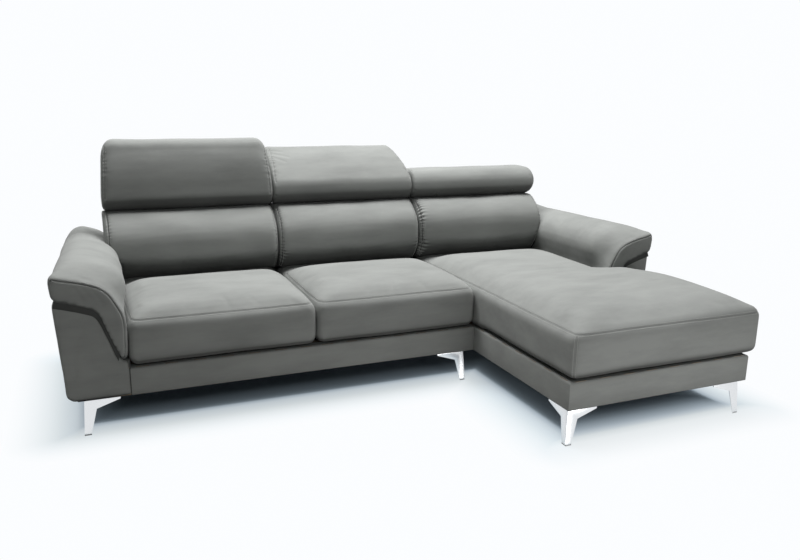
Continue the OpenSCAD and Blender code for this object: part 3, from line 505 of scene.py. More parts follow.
def nearest(piece, path, reach):
    """The points of a piece near a path: which, how far off, and where along the path."""
    tree = KDTree(len(path))
    for i, p in enumerate(path):
        tree.insert(p, i)
    tree.balance()
    points = points_of(piece)
    inside = ((points > path.min(0) - reach) & (points < path.max(0) + reach)).all(1)
    found = [(i, *tree.find(points[i])[1:]) for i in np.flatnonzero(inside)]
    found = np.array([f for f in found if f[2] < reach]).reshape(-1, 3)
    return found[:, 0].astype(int), found[:, 2], found[:, 1].astype(int)


def fine(path, gap=0.003):
    """The same path with its points a small gap apart, and their distance along it."""
    path = np.array(path, float)
    along = np.concatenate([[0], np.cumsum(np.linalg.norm(np.diff(path, axis=0), axis=1))])
    at = np.arange(0, along[-1], gap)
    return np.stack([np.interp(at, along, path[:, k]) for k in range(3)], 1), at


def pinched(piece, path, depth, width):
    """Draws the cloth in along a seam or fold."""
    path, _ = fine(path)
    which, off, _ = nearest(piece, path, 3 * width)
    points = points_of(piece)
    points[which] -= normals_of(piece)[which] * (depth * np.exp(-(off / width) ** 2))[:, None]
    move_to(piece, points)


def finer_near(piece, path):
    """Smaller faces beside a seam, so that its groove is as narrow as it should be."""
    which, _, _ = nearest(piece, fine(path)[0], 0.014)
    form = form_of(piece.data)
    form.verts.ensure_lookup_table()
    near = {form.verts[i] for i in which}
    edges = [e for e in form.edges if e.verts[0] in near and e.verts[1] in near]
    bmesh.ops.subdivide_edges(form, edges=edges, cuts=1, use_grid_fill=True)
    form.to_mesh(piece.data)
    form.free()


def gathered(piece, path, depth, pitch, reach, seed):
    """Small folds that run away from a seam where the cloth is gathered into it."""
    path, along = fine(path)
    odd = np.random.default_rng(seed).uniform(0, 6.28, 4)
    beat = along / pitch + 0.35 * np.sin(along * 41 + odd[0]) + 0.3 * np.sin(along * 17 + odd[1])
    long = 0.65 + 0.35 * np.sin(along * 29 + odd[2])
    which, off, at = nearest(piece, path, 3 * reach)
    points = points_of(piece)
    fold = np.sin(6.283 * beat[at]) * np.exp(-(off / (reach * long[at])) ** 1.5)
    points[which] += normals_of(piece)[which] * (depth * fold)[:, None]
    move_to(piece, points)


def rippled(piece, height, length, seed):
    """Slow, slight waves in the cloth, so that no panel is perfectly even."""
    odd = np.random.default_rng(seed)
    points, outward = points_of(piece), normals_of(piece)
    wave = np.zeros(len(points))
    for _ in range(7):
        way = odd.normal(size=3)
        way *= 6.283 / (length * odd.uniform(0.6, 1.6)) / np.linalg.norm(way)
        wave += np.sin(points @ way + odd.uniform(0, 6.28))
    move_to(piece, points + outward * (height * wave / 3)[:, None])


def fuller(piece, way, amount, low, high):
    """Rounds out one side of a piece, most in the middle of the given box."""
    points, way = points_of(piece), np.array(way, float)
    share = np.clip(normals_of(piece) @ way, 0, 1) ** 2
    for axis in range(3):
        if way[axis] == 0:
            share *= dome((points[:, axis] - low[axis]) / (high[axis] - low[axis]), 2.5)
    inside = ((points > np.array(low)) & (points < np.array(high))).all(1)
    move_to(piece, points + (amount * share * inside)[:, None] * way)


def skin_of(piece):
    """A piece's surface, to find places on."""
    faces = [tuple(p.vertices) for p in piece.data.polygons]
    return BVHTree.FromPolygons(points_of(piece).tolist(), faces)


def traced(skin, starts, aims):
    """Where straight lines meet the cloth."""
    met = [skin.ray_cast(Vector(s), Vector(a))[0] for s, a in zip(starts, aims)]
    return np.array([m for m in met if m is not None])


def seam_rows(skin, path, apart, lift):
    """Two rows beside a seam, laid on the cloth."""
    path, _ = fine(path, 0.006)
    run = np.gradient(path, axis=0)
    rows = []
    for side in (-1, 1):
        row = []
        for p, t in zip(path, run):
            out = skin.find_nearest(Vector(p))[1]
            spot, up, *_ = skin.find_nearest(Vector(p) + side * apart * Vector(t).cross(out).normalized())
            row.append(spot + up * lift)
        rows.append(np.array(row))
    return rows


def path_tree(name, values, build):
    """A node tree that builds something along a path, from even points on it. The result is
    real geometry, smooth, with its material."""
    tree = bpy.data.node_groups.new(name, "GeometryNodeTree")
    tree.is_modifier = True
    for label, kind in [("Path", "Geometry"), *((v, "Float") for v in values), ("Material", "Material")]:
        tree.interface.new_socket(label, in_out="INPUT", socket_type=f"NodeSocket{kind}")
    tree.interface.new_socket("Result", in_out="OUTPUT", socket_type="NodeSocketGeometry")
    given = node(tree, "NodeGroupInput").outputs
    curve = node(tree, "GeometryNodeMeshToCurve", {"Mesh": given["Path"]}).outputs["Curve"]
    even = node(
        tree, "GeometryNodeResampleCurve", {"Curve": curve, "Length": given["Pitch"]}, mode="LENGTH")
    rounded = node(tree, "GeometryNodeSetShadeSmooth", {0: build(tree, given, even.outputs["Curve"])})
    real = node(tree, "GeometryNodeRealizeInstances", {0: rounded.outputs[0]})
    painted = node(tree, "GeometryNodeSetMaterial", {
        "Geometry": real.outputs[0], "Material": given["Material"]})
    node(tree, "NodeGroupOutput", {"Result": painted.outputs["Geometry"]})
    return tree


def stitches(tree, given, path):
    """Stitches laid end to end along a path, each a thread that dips at both ends."""
    ball = node(tree, "GeometryNodeMeshIcoSphere", {"Radius": 1, "Subdivisions": 1})
    size = node(tree, "ShaderNodeCombineXYZ", {
        "X": given["Stitch length"], "Y": given["Thread"], "Z": given["Thread"]})
    tangent = node(tree, "GeometryNodeInputTangent")
    turn = node(
        tree, "FunctionNodeAlignRotationToVector", {"Vector": tangent.outputs["Tangent"]}, axis="X")
    return node(tree, "GeometryNodeInstanceOnPoints", {
        "Points": path, "Instance": ball.outputs["Mesh"], "Rotation": turn.outputs["Rotation"],
        "Scale": size.outputs["Vector"]}).outputs["Instances"]


def seam_fold(tree, given, path):
    """The folded edge of the upper panel, which lies in the seam."""
    ring = node(tree, "GeometryNodeCurvePrimitiveCircle", {"Resolution": 6, "Radius": given["Radius"]})
    return node(tree, "GeometryNodeCurveToMesh", {
        "Curve": path, "Profile Curve": ring.outputs["Curve"], "Fill Caps": True}).outputs["Mesh"]


def follow(name, tree, runs, values, body):
    """Runs a node tree along some paths and keeps the result as one mesh."""
    points, edges = [], []
    for run in runs:
        edges += [(len(points) + i, len(points) + i + 1) for i in range(len(run) - 1)]
        points += [tuple(p) for p in run]
    mesh = bpy.data.meshes.new(name)
    mesh.from_pydata(points, edges, [])
    piece = place(name, mesh)
    modifier = piece.modifiers.new(name, "NODES")
    modifier.node_group = tree
    for item in tree.interface.items_tree:
        if item.item_type == "SOCKET" and item.in_out == "INPUT" and item.name in values:
            modifier[item.identifier] = values[item.name]
    settle(piece)
    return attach(piece, body)


stitching = path_tree("Stitches", ("Pitch", "Stitch length", "Thread"), stitches)
folding = path_tree("Seam fold", ("Pitch", "Radius"), seam_fold)
# Two darkened copies of the grey cloth, both painted shade: at 0.24 for the arm seams' folds and for tucks,
# joints and panels that stand for shade, at 0.95 for the folds in the seat, chaise and headrest seams.
painted_shade_cloth, folded = brushed_cloth("grey_cloth_painted_shade", 0.24), brushed_cloth("grey_cloth_seam_shade", 0.95)
thread = finish("grey_thread", (0.50, 0.505, 0.49), 0.6, sockets=[("Sheen Weight", 0.3)])
twist = waves(thread, 420, 1.0, "DIAGONAL")
tones(thread, twist, (0.40, 0.405, 0.39), (0.58, 0.585, 0.57), 0.2, 0.8)
relief(thread, twist, 0.4, 0.0003)


def sewn(name, pieces_and_paths, body, depth=0.0026, width=0.0032, fold=painted_shade_cloth):
    """A double-stitched seam: the cloth drawn in, the fold in it, and a row on each side. The fold is in a
    darkened cloth: painted shade.
    """
    rows, folds = [], []
    for piece, path in pieces_and_paths:
        pinched(piece, path, depth * 0.6, width * 2.2)
        finer_near(piece, path)
        pinched(piece, path, depth, width)
        skin = skin_of(piece)
        rows += seam_rows(skin, path, 0.0062, 0.0004)
        laid = [skin.find_nearest(Vector(p))[:2] for p in fine(path, 0.008)[0]]
        folds.append(np.array([spot + up * 0.0001 for spot, up in laid]))
    follow(f"{name}_stitches", stitching, rows, {
        "Pitch": 0.0075, "Stitch length": 0.0028, "Thread": 0.0009, "Material": thread}, body)
    follow(f"{name}_fold", folding, folds, {"Pitch": 0.008, "Radius": 0.0010, "Material": fold}, body)


ARM_PAD_UNDER = ARM_HIGH - 0.098
ARM_BEND = np.array([0.100, ARM_PAD_UNDER - 0.055])
ARM_SEAM = through([
    (0.026, 0.292), (0.045, 0.346), (0.070, 0.418), ARM_BEND, ARM_BEND + (0.047, 0.025),
    (ARM_WIDE - 0.030, ARM_PAD_UNDER - 0.004), (ARM_WIDE - 0.006, ARM_PAD_UNDER)], 60)
ARM_FACE = through([
    (0.013, 0.288), (0.003, 0.310), (0.000, 0.380), (0.000, 0.446), (0.010, ARM_HIGH - 0.152),
    (0.028, ARM_HIGH - 0.114), (0.052, ARM_HIGH - 0.076), (0.086, ARM_HIGH - 0.048),
    (0.140, ARM_HIGH - 0.027), (ARM_WIDE - 0.045, ARM_HIGH - 0.008), (ARM_WIDE - 0.014, ARM_HIGH),
    (ARM_WIDE - 0.001, ARM_HIGH - 0.014), (ARM_WIDE, ARM_HIGH - 0.036)], 90)
ARM_FULL = through([
    (0.016, 0.288), (0.013, 0.315), (0.010, 0.385), (0.006, 0.450), (-0.006, 0.505), (-0.013, 0.555),
    (0.006, 0.602), (0.046, 0.635), (0.110, 0.657), (0.180, 0.664), (0.228, 0.655), (0.256, 0.634),
    (0.263, 0.602)], 90)


def taper(section, y):
    """The arm gets narrower towards its back, on its outer side."""
    section = section.copy()
    section[:, 0] -= 0.052 * np.clip(y / DEPTH, 0, 1) * climb((section[:, 0] - 0.080) / 0.150)
    return section


def narrowed_copy(source, name, outward, share, back_off):
    """A copy of a node under an arm, as narrow towards its back as the arm is there."""
    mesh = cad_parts[source].data.copy()
    for v in mesh.vertices:
        across = outward * v.co.x - SOFA_RIGHT
        if across > 0:
            along = back_off + (v.co.y - FRONT) * (1 - 2.3 * back_off)
            v.co.x = outward * (SOFA_RIGHT + taper(np.array([[share * across, 0.0]]), along)[0, 0])
            v.co.y = FRONT + along
    return place(name, mesh)


for side, outward, unit in (("left", -1, "sofa"), ("right", 1, "chaise")):
    done(narrowed_copy(f"{side}_arm_frame", f"{side}_arm_plywood", outward, 0.965, 0.003),
         plywood, "plywood", "sofa", f"{side}_arm_frame")
    done(narrowed_copy(f"{unit}_dust_cover", f"{unit}_lining", outward, 0.97, 0.0),
         lining, "black_cloth", "sofa", f"{unit}_dust_cover")


def arm_pad_ring(y, by):
    """The pad: as the front panel has it at the front, and full and round behind that."""
    full = climb((y + 0.015) / 0.150)
    face = ARM_FACE * (1 - full) + ARM_FULL * full
    face[:, 0] = np.where(face[:, 0] < 0, face[:, 0] * (1 - climb((y - 0.65) / 0.08)), face[:, 0])
    behind = climb((y - DEPTH + 0.170) / 0.120)
    face[:, 1] += 0.008 * climb(face[:, 0] / 0.080) * behind * climb((face[:, 1] - 0.44) / 0.12)
    face[:, 0] += 0.005 * climb((0.06 - y) / 0.06) * climb((face[:, 0] - 0.200) / 0.060)
    under = np.concatenate([[(0.020, 0.288)], ARM_SEAM, [(ARM_WIDE - 0.001, ARM_PAD_UNDER + 0.014)]])
    section = taper(drawn_in(np.concatenate([face, under[::-1]]), by), y)
    fall = climb((y - 0.78) / 0.17) * climb((section[:, 0] - 0.150) / 0.080)
    fall *= climb((section[:, 1] - 0.46) / 0.10)
    return arm_ring(y, section - np.stack([0.010 * fall, 0.008 * fall], 1))


def arm_body_ring(y, by):
    """The body: flat on its inner side, rounded at the foot, and as the pad's underside on top."""
    low = UNDERSIDE - 0.003
    inner = np.array([(-0.004, low), (-0.004, 0.246), (0, 0.252), (0, 0.278), (0.016, 0.281)])
    outer = through([
        (ARM_WIDE - 0.025, UNDERSIDE + 0.054),
        (ARM_WIDE - 0.014, (UNDERSIDE + ARM_PAD_UNDER) / 2 + 0.010),
        (ARM_WIDE - 0.005, ARM_PAD_UNDER - 0.036), (ARM_WIDE - 0.004, ARM_PAD_UNDER - 0.010)], 40)
    foot = arc((0.206, low + 0.030), 0.030, 270, 352, 9)
    section = np.concatenate([inner, ARM_SEAM + (0.003, -0.007), outer[::-1], foot[::-1]])
    pull = climb((section[:, 1] - UNDERSIDE) / 0.040) * climb(section[:, 0] / 0.030)
    return arm_ring(y, taper(section + (section.mean(0) - section) * (by / 0.11) * pull[:, None], y))


def arm_tuck_ring(y):
    """The edge of the body's cloth, tucked in under the pad."""
    inside = ARM_SEAM[4:-4].copy()
    inside[:, 0] = np.minimum(inside[:, 0], ARM_WIDE - 0.016)
    tuck = np.concatenate([inside + (-0.006, 0.016), inside[::-1] + (0.008, -0.024)])
    return arm_ring(y, taper(tuck, y))


def low_edge(points):
    """Firm at the foot of the arm, where the cloth is stapled round the frame."""
    return 1 - climb((points[:, 2] - UNDERSIDE - 0.008) / 0.030)


def mirrored(piece, name):
    """The same piece for the other arm."""
    form = form_of(piece.data)
    for v in form.verts:
        v.co.x = -v.co.x
    bmesh.ops.reverse_faces(form, faces=form.faces)
    return made_from(name, form)


end_outline = np.array([(0.747, 0.252), (0.832, 0.738), (0.948, 0.738), (0.948, 0.252)])
for side, outward in (("left", -1), ("right", 1)):
    rings = [side_ring(outward * x, drawn_in(end_outline, by)) for x, by in (
        (SOFA_RIGHT - 0.003, 0), (SOFA_RIGHT + 0.0025, 0), (SOFA_RIGHT + 0.0040, 0.002))]
    clad(lofted(f"{side}_back_end_cloth", rings))

body_run = rounded_run(0.0, DEPTH, 0.014, 14)
left_body = stuffed(lofted("left_arm_body", [arm_body_ring(y, by) for y, by in body_run]), 0.010,
                    [((0, -1, 0), 0.7), ((-1, 0, 0), 0.8)], 0.003, 2, low_edge)
pad_run = round_end(-0.017, 1, 0.020, 0.017, np.radians(np.linspace(0, 90, 8)))
pad_run += [(y, 0.0) for y in np.linspace(0.012, DEPTH - 0.026, 36)]
pad_run += round_end(DEPTH, -1, 0.020, 0.018, np.radians(np.linspace(70, 0, 6)))
left_pad = stuffed(lofted("left_arm_top", [arm_pad_ring(y, by) for y, by in pad_run]), 0.010,
                   [((0, 0, 1), 0.8), ((0, -1, 0), 1.0), ((-1, 0, 0), 1.0), ((0, 1, 0), 0.3)], 0.006, 3)

run = np.gradient(ARM_FACE, axis=0)
run /= np.linalg.norm(run, axis=1)[:, None]
front_seam = ARM_FACE[3:-6] + 0.010 * np.stack([run[:, 1], -run[:, 0]], 1)[3:-6]
front_seam = traced(skin_of(left_pad), arm_ring(-0.1, front_seam), [(0, 1, 0)] * len(front_seam))
above = [(SOFA_LEFT - x, FRONT + 0.775, 1.0) for x in np.linspace(0.030, ARM_WIDE - 0.058, 30)]
pinched(left_pad, traced(skin_of(left_pad), above, [(0, 0, -1)] * 30), 0.0022, 0.010)
for across, tall, lean in ((0.126, 0.042, 0.026), (0.156, 0.036, 0.018), (0.096, 0.042, 0.024)):
    low = 0.560 - 0.25 * max(0, 0.14 - across)
    fold = [(SOFA_LEFT - across - lean * t, FRONT - 0.018, low + tall * t)
            for t in np.linspace(-0.6, 0.9, 9)]
    pinched(left_pad, fold, 0.0032, 0.011)
left_tuck = lofted("left_arm_tuck", [arm_tuck_ring(y) for y in np.linspace(0.0015, DEPTH - 0.003, 12)])
# The tucks are in the darkened cloth: a painted shade line under each pad.
for tuck in (left_tuck, mirrored(left_tuck, "right_arm_tuck")):
    clad(tuck, material=painted_shade_cloth)
right_pad, right_body = mirrored(left_pad, "right_arm_top"), mirrored(left_body, "right_arm_body")
sewn("arm_seams", [(left_pad, front_seam), (right_pad, front_seam * (-1, 1, 1))], "sofa")
for piece, x in ((left_body, SOFA_LEFT - 0.0008), (right_body, SOFA_RIGHT + 0.0008)):
    joint = [(x, FRONT, z) for z in np.linspace(UNDERSIDE, 0.280, 30)]
    finer_near(piece, joint)
    pinched(piece, joint, 0.0045, 0.0030)
# Tubes of the darkened cloth in the joint between each arm and the base: painted shade.
heights = np.linspace(UNDERSIDE + 0.001, 0.290, 20)
joints = [[(side * (SOFA_RIGHT + 0.0006), FRONT + 0.0030, z) for z in heights] for side in (-1, 1)]
follow("arm_joint_shade_folds", folding, joints, {"Pitch": 0.01, "Radius": 0.0026, "Material": painted_shade_cloth}, "sofa")
for side, top, padding, seed in (("left", left_pad, left_body, 11), ("right", right_pad, right_body, 12)):
    rippled(top, 0.0012, 0.22, seed)
    clad(top, f"{side}_arm_pad")
    clad(padding, f"{side}_arm_cover")


# Seat cushions: foam blocks in zipped grey covers, boxed at the front, with a crowned top
# panel whose edge is double stitched. They lie loose on the webbing, under the back cushions.

SEAM, DECK = 0.444, 0.2524
CUSHION_BACK, PILLOW_FOOT = 0.7446, 0.6137
SEAT_TOP_BACK, SEAT_CROWN = PILLOW_FOOT - 0.006, 0.042


def seat_section(share):
    """The side view of a seat cushion, for a share of its crown."""
    face = -0.012
    first = face + 0.015
    t = np.linspace(0.0, 1.0, 50)[2:]
    crown = SEAT_CROWN * share * dome(t, 4)
    top = np.stack([first + (SEAT_TOP_BACK - face - 0.015) * t, SEAM + crown], 1)
    upper = np.concatenate([
        arc((face + 0.026, DECK + 0.035), 0.026, 262, 184, 9),
        [(face - 0.003, (DECK + SEAM) / 2 + 0.004)],
        arc((face + 0.030, SEAM - 0.030), 0.030, 178, 118, 8), top,
        arc((CUSHION_BACK - 0.015, SEAM - 0.015), 0.015, 90, 0, 5)])
    under = np.linspace(CUSHION_BACK, face + 0.032, 40)
    free = 0.009 * (1 - climb((under - face - 0.024) / 0.045))
    return np.concatenate([upper, np.stack([under, DECK + free], 1)])


def seat_form(name, x0, x1):
    """A seat cushion from end to end, with its crown."""
    rings = []
    for x, by in rounded_run(x0 + 0.0006, x1 - 0.0006, 0.028, 44):
        share = float(dome((x - x0) / (x1 - x0), 8))
        rings.append(side_ring(x, drawn_in(seat_section(share), by)))
    return lofted(name, rings)


def resting(points):
    """Firm where a cushion lies on the webbing."""
    return 1 - climb((points[:, 2] - DECK - 0.004) / 0.016)


def edge_path(piece, x0, x1, front, back, height, corner=0.030):
    """Round the top edge of a seat cushion, from the back of its left side to that of its right."""
    def bend(x, first, last):
        aims = [(math.cos(a), math.sin(a), 0) for a in np.radians(np.linspace(first, last, 9))]
        return [((x - 0.09 * aim[0], front + corner - 0.09 * aim[1], height), aim) for aim in aims]

    lines = [((x0 - 0.05, y, height), (1, 0, 0)) for y in np.linspace(back, front + corner, 40)]
    lines += bend(x0 + corner, 4, 86)
    lines += [((x, front - 0.05, height), (0, 1, 0)) for x in np.linspace(x0 + corner, x1 - corner, 60)]
    lines += bend(x1 - corner, 94, 176)
    lines += [((x1 + 0.05, y, height), (-1, 0, 0)) for y in np.linspace(front + corner, back, 40)]
    return traced(skin_of(piece), *zip(*lines))


seats = []
for side, x0, x1, seed in (("left", SOFA_LEFT, SEATS_MEET, 21), ("middle", SEATS_MEET, CHAISE_LEFT, 22)):
    seat = stuffed(seat_form(f"{side}_seat", x0, x1), 0.012, [
        ((0, 0, 1), 1.0), ((0, -1, 0), 0.55), ((1, 0, 0), 0.05), ((-1, 0, 0), 0.05)], 0.011, 2, resting)
    fuller(seat, (0, -1, 0), 0.006, (x0, FRONT - 0.05, DECK), (x1, FRONT + 0.05, SEAM + 0.01))
    rippled(seat, 0.0014, 0.30, seed)
    seats.append((seat, edge_path(seat, x0, x1, FRONT - 0.014, FRONT + 0.58, SEAM - 0.006)))
    clad(seat, f"{side}_seat_cushion")

PAD_FRONT, CHAISE_WIDE = -0.772, 1.333
TURN, BESIDE_ARM = -0.019, SOFA_RIGHT - 0.0004


def chaise_ring(y, by, right):
    """The front view of the chaise cushion at one place along it."""
    left = CHAISE_LEFT + 0.0004
    width = right - left
    rise = 0.048 * float(dome((y - PAD_FRONT) / (SEAT_TOP_BACK - PAD_FRONT), 8))
    t = np.linspace(0, 1, 50)[1:-1]
    top = np.stack([0.020 + (width - 0.040) * t, SEAM + rise * dome(t, 8)], 1)
    upper = np.concatenate([
        arc((0.022, DECK + 0.024), 0.022, 262, 184, 8),
        arc((0.026, SEAM - 0.026), 0.026, 176, 112, 8), top,
        arc((width - 0.026, SEAM - 0.026), 0.026, 68, 4, 8),
        arc((width - 0.022, DECK + 0.024), 0.022, -4, -82, 8)])
    under = np.linspace(width - 0.03, 0.03, 40)
    section = np.concatenate([upper, np.stack([under, np.full(40, DECK)], 1)])
    at_left, at_right = (1 - climb((off - 0.024) / 0.045) for off in (section[:, 0], width - section[:, 0]))
    lift = np.maximum(1 - climb((y - PAD_FRONT - 0.024) / 0.045), climb(-(y + 0.02) / 0.10) * at_left)
    lift = np.maximum(lift, climb((TURN - y) / 0.05) * at_right)
    section[:, 1] += 0.009 * lift * (1 - climb((section[:, 1] - DECK) / 0.06))
    corner = 0.014 * climb((TURN - y) / 0.30) * climb((section[:, 0] / width - 0.5) / 0.45)
    section[:, 1] += corner * climb((section[:, 1] - DECK - 0.06) / 0.12)
    section = drawn_in(section, by)
    return np.stack([left + section[:, 0], np.full(len(section), FRONT + y), section[:, 1]], 1)


front_turn, back_turn = np.radians(np.linspace(0, 90, 9)), np.radians(np.linspace(60, 0, 5))
chaise_run = [(*there, CHAISE_WIDE) for there in round_end(PAD_FRONT, 1, 0.024, 0.024, front_turn)]
chaise_run += [(y, 0, CHAISE_WIDE) for y in np.linspace(PAD_FRONT + 0.036, TURN - 0.050, 48)]
chaise_run += [(TURN - 0.020, 0, CHAISE_WIDE), (TURN - 0.008, 0.001, CHAISE_WIDE - 0.006),
               (TURN - 0.001, 0.003, CHAISE_WIDE - 0.018), (TURN, 0.003, BESIDE_ARM)]
chaise_run += [(TURN + 0.030, 0, BESIDE_ARM)]
chaise_run += [(y, 0, BESIDE_ARM) for y in np.linspace(TURN + 0.050, CUSHION_BACK - 0.022, 40)]
chaise_run += [(*there, BESIDE_ARM) for there in round_end(CUSHION_BACK, -1, 0.022, 0.022, back_turn)]
chaise = stuffed(lofted("chaise_seat", [chaise_ring(*there) for there in chaise_run]), 0.013, [
    ((0, 0, 1), 1.0), ((0, -1, 0), 0.55), ((-1, 0, 0), 0.05), ((1, 0, 0), 0.2)], 0.011, 2, resting)
front, high = FRONT + PAD_FRONT, SEAM + 0.01
fuller(chaise, (0, -1, 0), 0.008, (CHAISE_LEFT, front - 0.05, DECK), (CHAISE_WIDE, front + 0.05, high))
fuller(chaise, (-1, 0, 0), 0.006, (CHAISE_LEFT - 0.05, front, DECK), (CHAISE_LEFT + 0.05, FRONT - 0.02, high))
rippled(chaise, 0.0014, 0.34, 23)
# On its right side only 24 of the 40 places are in front of the arm, where the seam ends.
edge = edge_path(chaise, CHAISE_LEFT, CHAISE_WIDE, front, FRONT + 0.58, SEAM - 0.006)
edge = edge[:40 + 9 + 60 + 9 + 24]
corner = [(CHAISE_LEFT - 0.04, front - 0.04, z) for z in np.linspace(DECK + 0.02, SEAM - 0.012, 24)]
corner = traced(skin_of(chaise), corner, [(1, 1, 0)] * 24)
seats.append((chaise, edge))
sewn("seat_seams", seats, "sofa", 0.0014, fold=folded)
sewn("chaise_corner_seam", [(chaise, corner)], "sofa", 0.0014, fold=folded)
clad(chaise, "chaise_seat_cushion")


# Back cushions: fibre-filled, fuller below than above, with a side panel gathered into the
# seam at each end. They stand on the seats and lean on the back frame.

PIVOT_Y, PIVOT_Z, ROLL = FRONT + 0.800, 0.830, 0.075
PILLOW_LOW, FRAME_TOP, PILLOW_ROWS = SEAM + 0.0004, 0.738, 56


def pillow_section(by):
    """The side view of a back cushion: undercut at the seat, full below, leaning back above."""
    top, low = PIVOT_Z - ROLL + 0.001, PILLOW_LOW
    up = np.linspace(0.004, top - low - 0.010, PILLOW_ROWS)
    belly = np.where(up > 0.120, 16.4 * (up - 0.120) ** 3, 4.2 * (0.120 - up) ** 2)
    front = np.stack([PILLOW_FOOT + 0.010 + belly, low + up], 1)
    edge = front[-1, 0]
    front = np.concatenate([[(front[0, 0] + 0.016, low)], front, [
        (edge + 0.014, top - 0.003), (edge + 0.034, top), (0.800, top), (0.842, top)]])
    pull = climb((0.780 - front[:, 0]) / 0.060)
    front = front + np.stack([by * pull, -by * 0.42 * pull * climb((front[:, 1] - low) / 0.2)], 1)
    z = np.linspace(FRAME_TOP, low, PILLOW_ROWS)
    rear = np.stack([0.745 + 0.17347 * (z - 0.250) - 0.0004, z], 1)
    return np.concatenate([front, [(0.842, 0.7455), (0.829, 0.7440)], rear])


def back_form(name, x0, x1, left, right):
    """A back cushion. It spreads out over the arm at an outer end."""
    rings = []
    for x, by in rounded_run(x0 + 0.001, x1 - 0.001, 0.034, 44, 0.022 if right else None):
        section = pillow_section(by)
        t = (x - x0) / (x1 - x0)
        section[:PILLOW_ROWS + 1, 0] -= 0.010 * dome(t, 2)
        reach = right * climb(4 * t - 3) - left * climb(1 - 4 * t)
        out = reach * climb((section[:, 1] - ARM_HIGH + 0.140) / 0.130)
        rings.append(side_ring(x + out, section))
    return lofted(name, rings)


def on_seat(points):
    """Firm where a back cushion stands on the seat."""
    return 1 - climb((points[:, 2] - PILLOW_LOW - 0.003) / 0.014)


def end_path(piece, x, lean):
    """Up the front of a back cushion near one end, over its top."""
    starts = [(x + lean * float(climb((z - 0.5) / 0.13)), FRONT + 0.40, z)
              for z in np.linspace(PILLOW_LOW + 0.012, 0.746, 34)]
    return traced(skin_of(piece), starts, [(0, 1, 0)] * 34)


# Each cushion with the depth and reach of the gathers at its left and at its right seam.
back_seams = []
for side, x0, x1, left, right, seed, gathers in (
        ("left", SOFA_LEFT, SEATS_MEET, 0.044, 0, 31, ((0.0012, 0.018), (0.002, 0.018))),
        ("middle", SEATS_MEET, CHAISE_LEFT, 0, 0, 32, ((0.002, 0.018), (0.002, 0.018))),
        ("right", CHAISE_LEFT, SOFA_RIGHT, 0, 0.018, 33, ((0.0034, 0.026), (0.002, 0.018)))):
    back = stuffed(back_form(f"{side}_back", x0, x1, left, right), 0.010, [
        ((0, -1, 0), 1.0), ((0, 0, 1), 0.2), ((1, 0, 0), 0.06), ((-1, 0, 0), 0.06)], 0.008, 3, on_seat)
    rippled(back, 0.0016, 0.24, seed)
    ends = ((x0 + (0.018 if left else 0.014), -left), (x1 - 0.012, right))
    for (end, lean), (deep, reach) in zip(ends, gathers):
        path = end_path(back, end, lean * 0.92)
        gathered(back, path, deep, 0.017, reach, len(back_seams))
        back_seams.append((back, path))
    clad(back, f"{side}_back_cushion")
sewn("back_seams", back_seams, "sofa", 0.0034, 0.0034)


def painted_shade_panel(name, places, section):
    """A flat panel of the darkened cloth across the sofa, between two cushions: painted shade."""
    clad(lofted(name, [side_ring(x, section) for x in places]), material=painted_shade_cloth)


# Dark panels at the right end of the back and in the gaps between cushions and between headrests: painted
# shade.
painted_shade_panel("right_back_end_shade_panel", (SOFA_RIGHT - 0.0075, SOFA_RIGHT), pillow_section(0.008))
strip = np.array([(0.775, 0.742), (0.838, 0.742), (0.838, 0.796), (0.800, 0.790), (0.775, 0.760)])
for where, x in (("left", SEATS_MEET), ("right", CHAISE_LEFT)):
    painted_shade_panel(f"{where}_back_shade_panels", (x - 0.007, x + 0.007), pillow_section(0.024))
    painted_shade_panel(f"{where}_back_gap_shade", (x - 0.0011, x + 0.0011), strip)


# Headrests: a foam roll and a thinner flap over a plywood board, in one grey cover. Each
# turns on two ratchet hinges whose bars reach through slits in the cover to the back frame.

HEADREST_LONG, FAR_RADIUS, CORNER, NARROWING = 0.269, 0.050, 0.062, 0.018
# The headrest cloth keeps the painted underside shade only on its roll about the hinge axis.
tilting_cloth = brushed_cloth("grey_cloth_headrest", 1.0, (PIVOT_Y, PIVOT_Z))
for side in ("left", "middle", "right"):
    dress(plywood, f"{side}_headrest_board")
    dress(zinc, f"{side}_hinge_arms", f"{side}_hinge_brackets")
dress(zinc, "hinge_pins", "bracket_screws")


def headrest_section(length):
    """The side view, from the rolled end to the far edge. It is full on the side that is
    leaned on, and slightly hollow on the other, which comes down over the back cushion."""
    far = (length - FAR_RADIUS, 0)
    t = np.linspace(0, 1, 26)[1:-1]
    sides = [np.concatenate([
        arc((0, 0), ROLL + 0.001, 178, 90, 16),
        np.stack([far[0] * t, ROLL + (FAR_RADIUS - ROLL) * t + full * dome(t, 2)], 1),
        arc(far, FAR_RADIUS, 88, 2, 14)]) for full in (0.012, -0.003)]
    return np.concatenate([sides[0], sides[1][::-1] * (1, -1)])


def tilted(along, up, turn):
    """The y and z of a place in a headrest's side view, at a tilt."""
    y = along * math.cos(turn) - up * math.sin(turn)
    z = along * math.sin(turn) + up * math.cos(turn)
    return PIVOT_Y + y, PIVOT_Z + z


def headrest_form(name, x0, x1, turn, shorter, corners, rounds, narrow):
    """A headrest at its tilt, with rounded far corners, that narrows towards its far edge."""
    rings = []
    for x, by in rounded_run(x0, x1, rounds[0], 64, rounds[1]):
        short = 0
        for off, corner in zip((x - x0, x1 - x), corners):
            inside = corner - min(corner, off)
            short = max(short, corner - math.sqrt(corner * corner - inside * inside))
        section = drawn_in(headrest_section(HEADREST_LONG - short - shorter), by)
        side = (2 * x - x0 - x1) / (x1 - x0)
        slant = narrow[int(side > 0)] * float(climb(4 * abs(side) - 3)) * np.sign(side)
        across = x - slant * np.maximum(0, section[:, 0]) / HEADREST_LONG
        rings.append(np.stack([across, *tilted(section[:, 0], section[:, 1], turn)], 1))
    return lofted(name, rings)


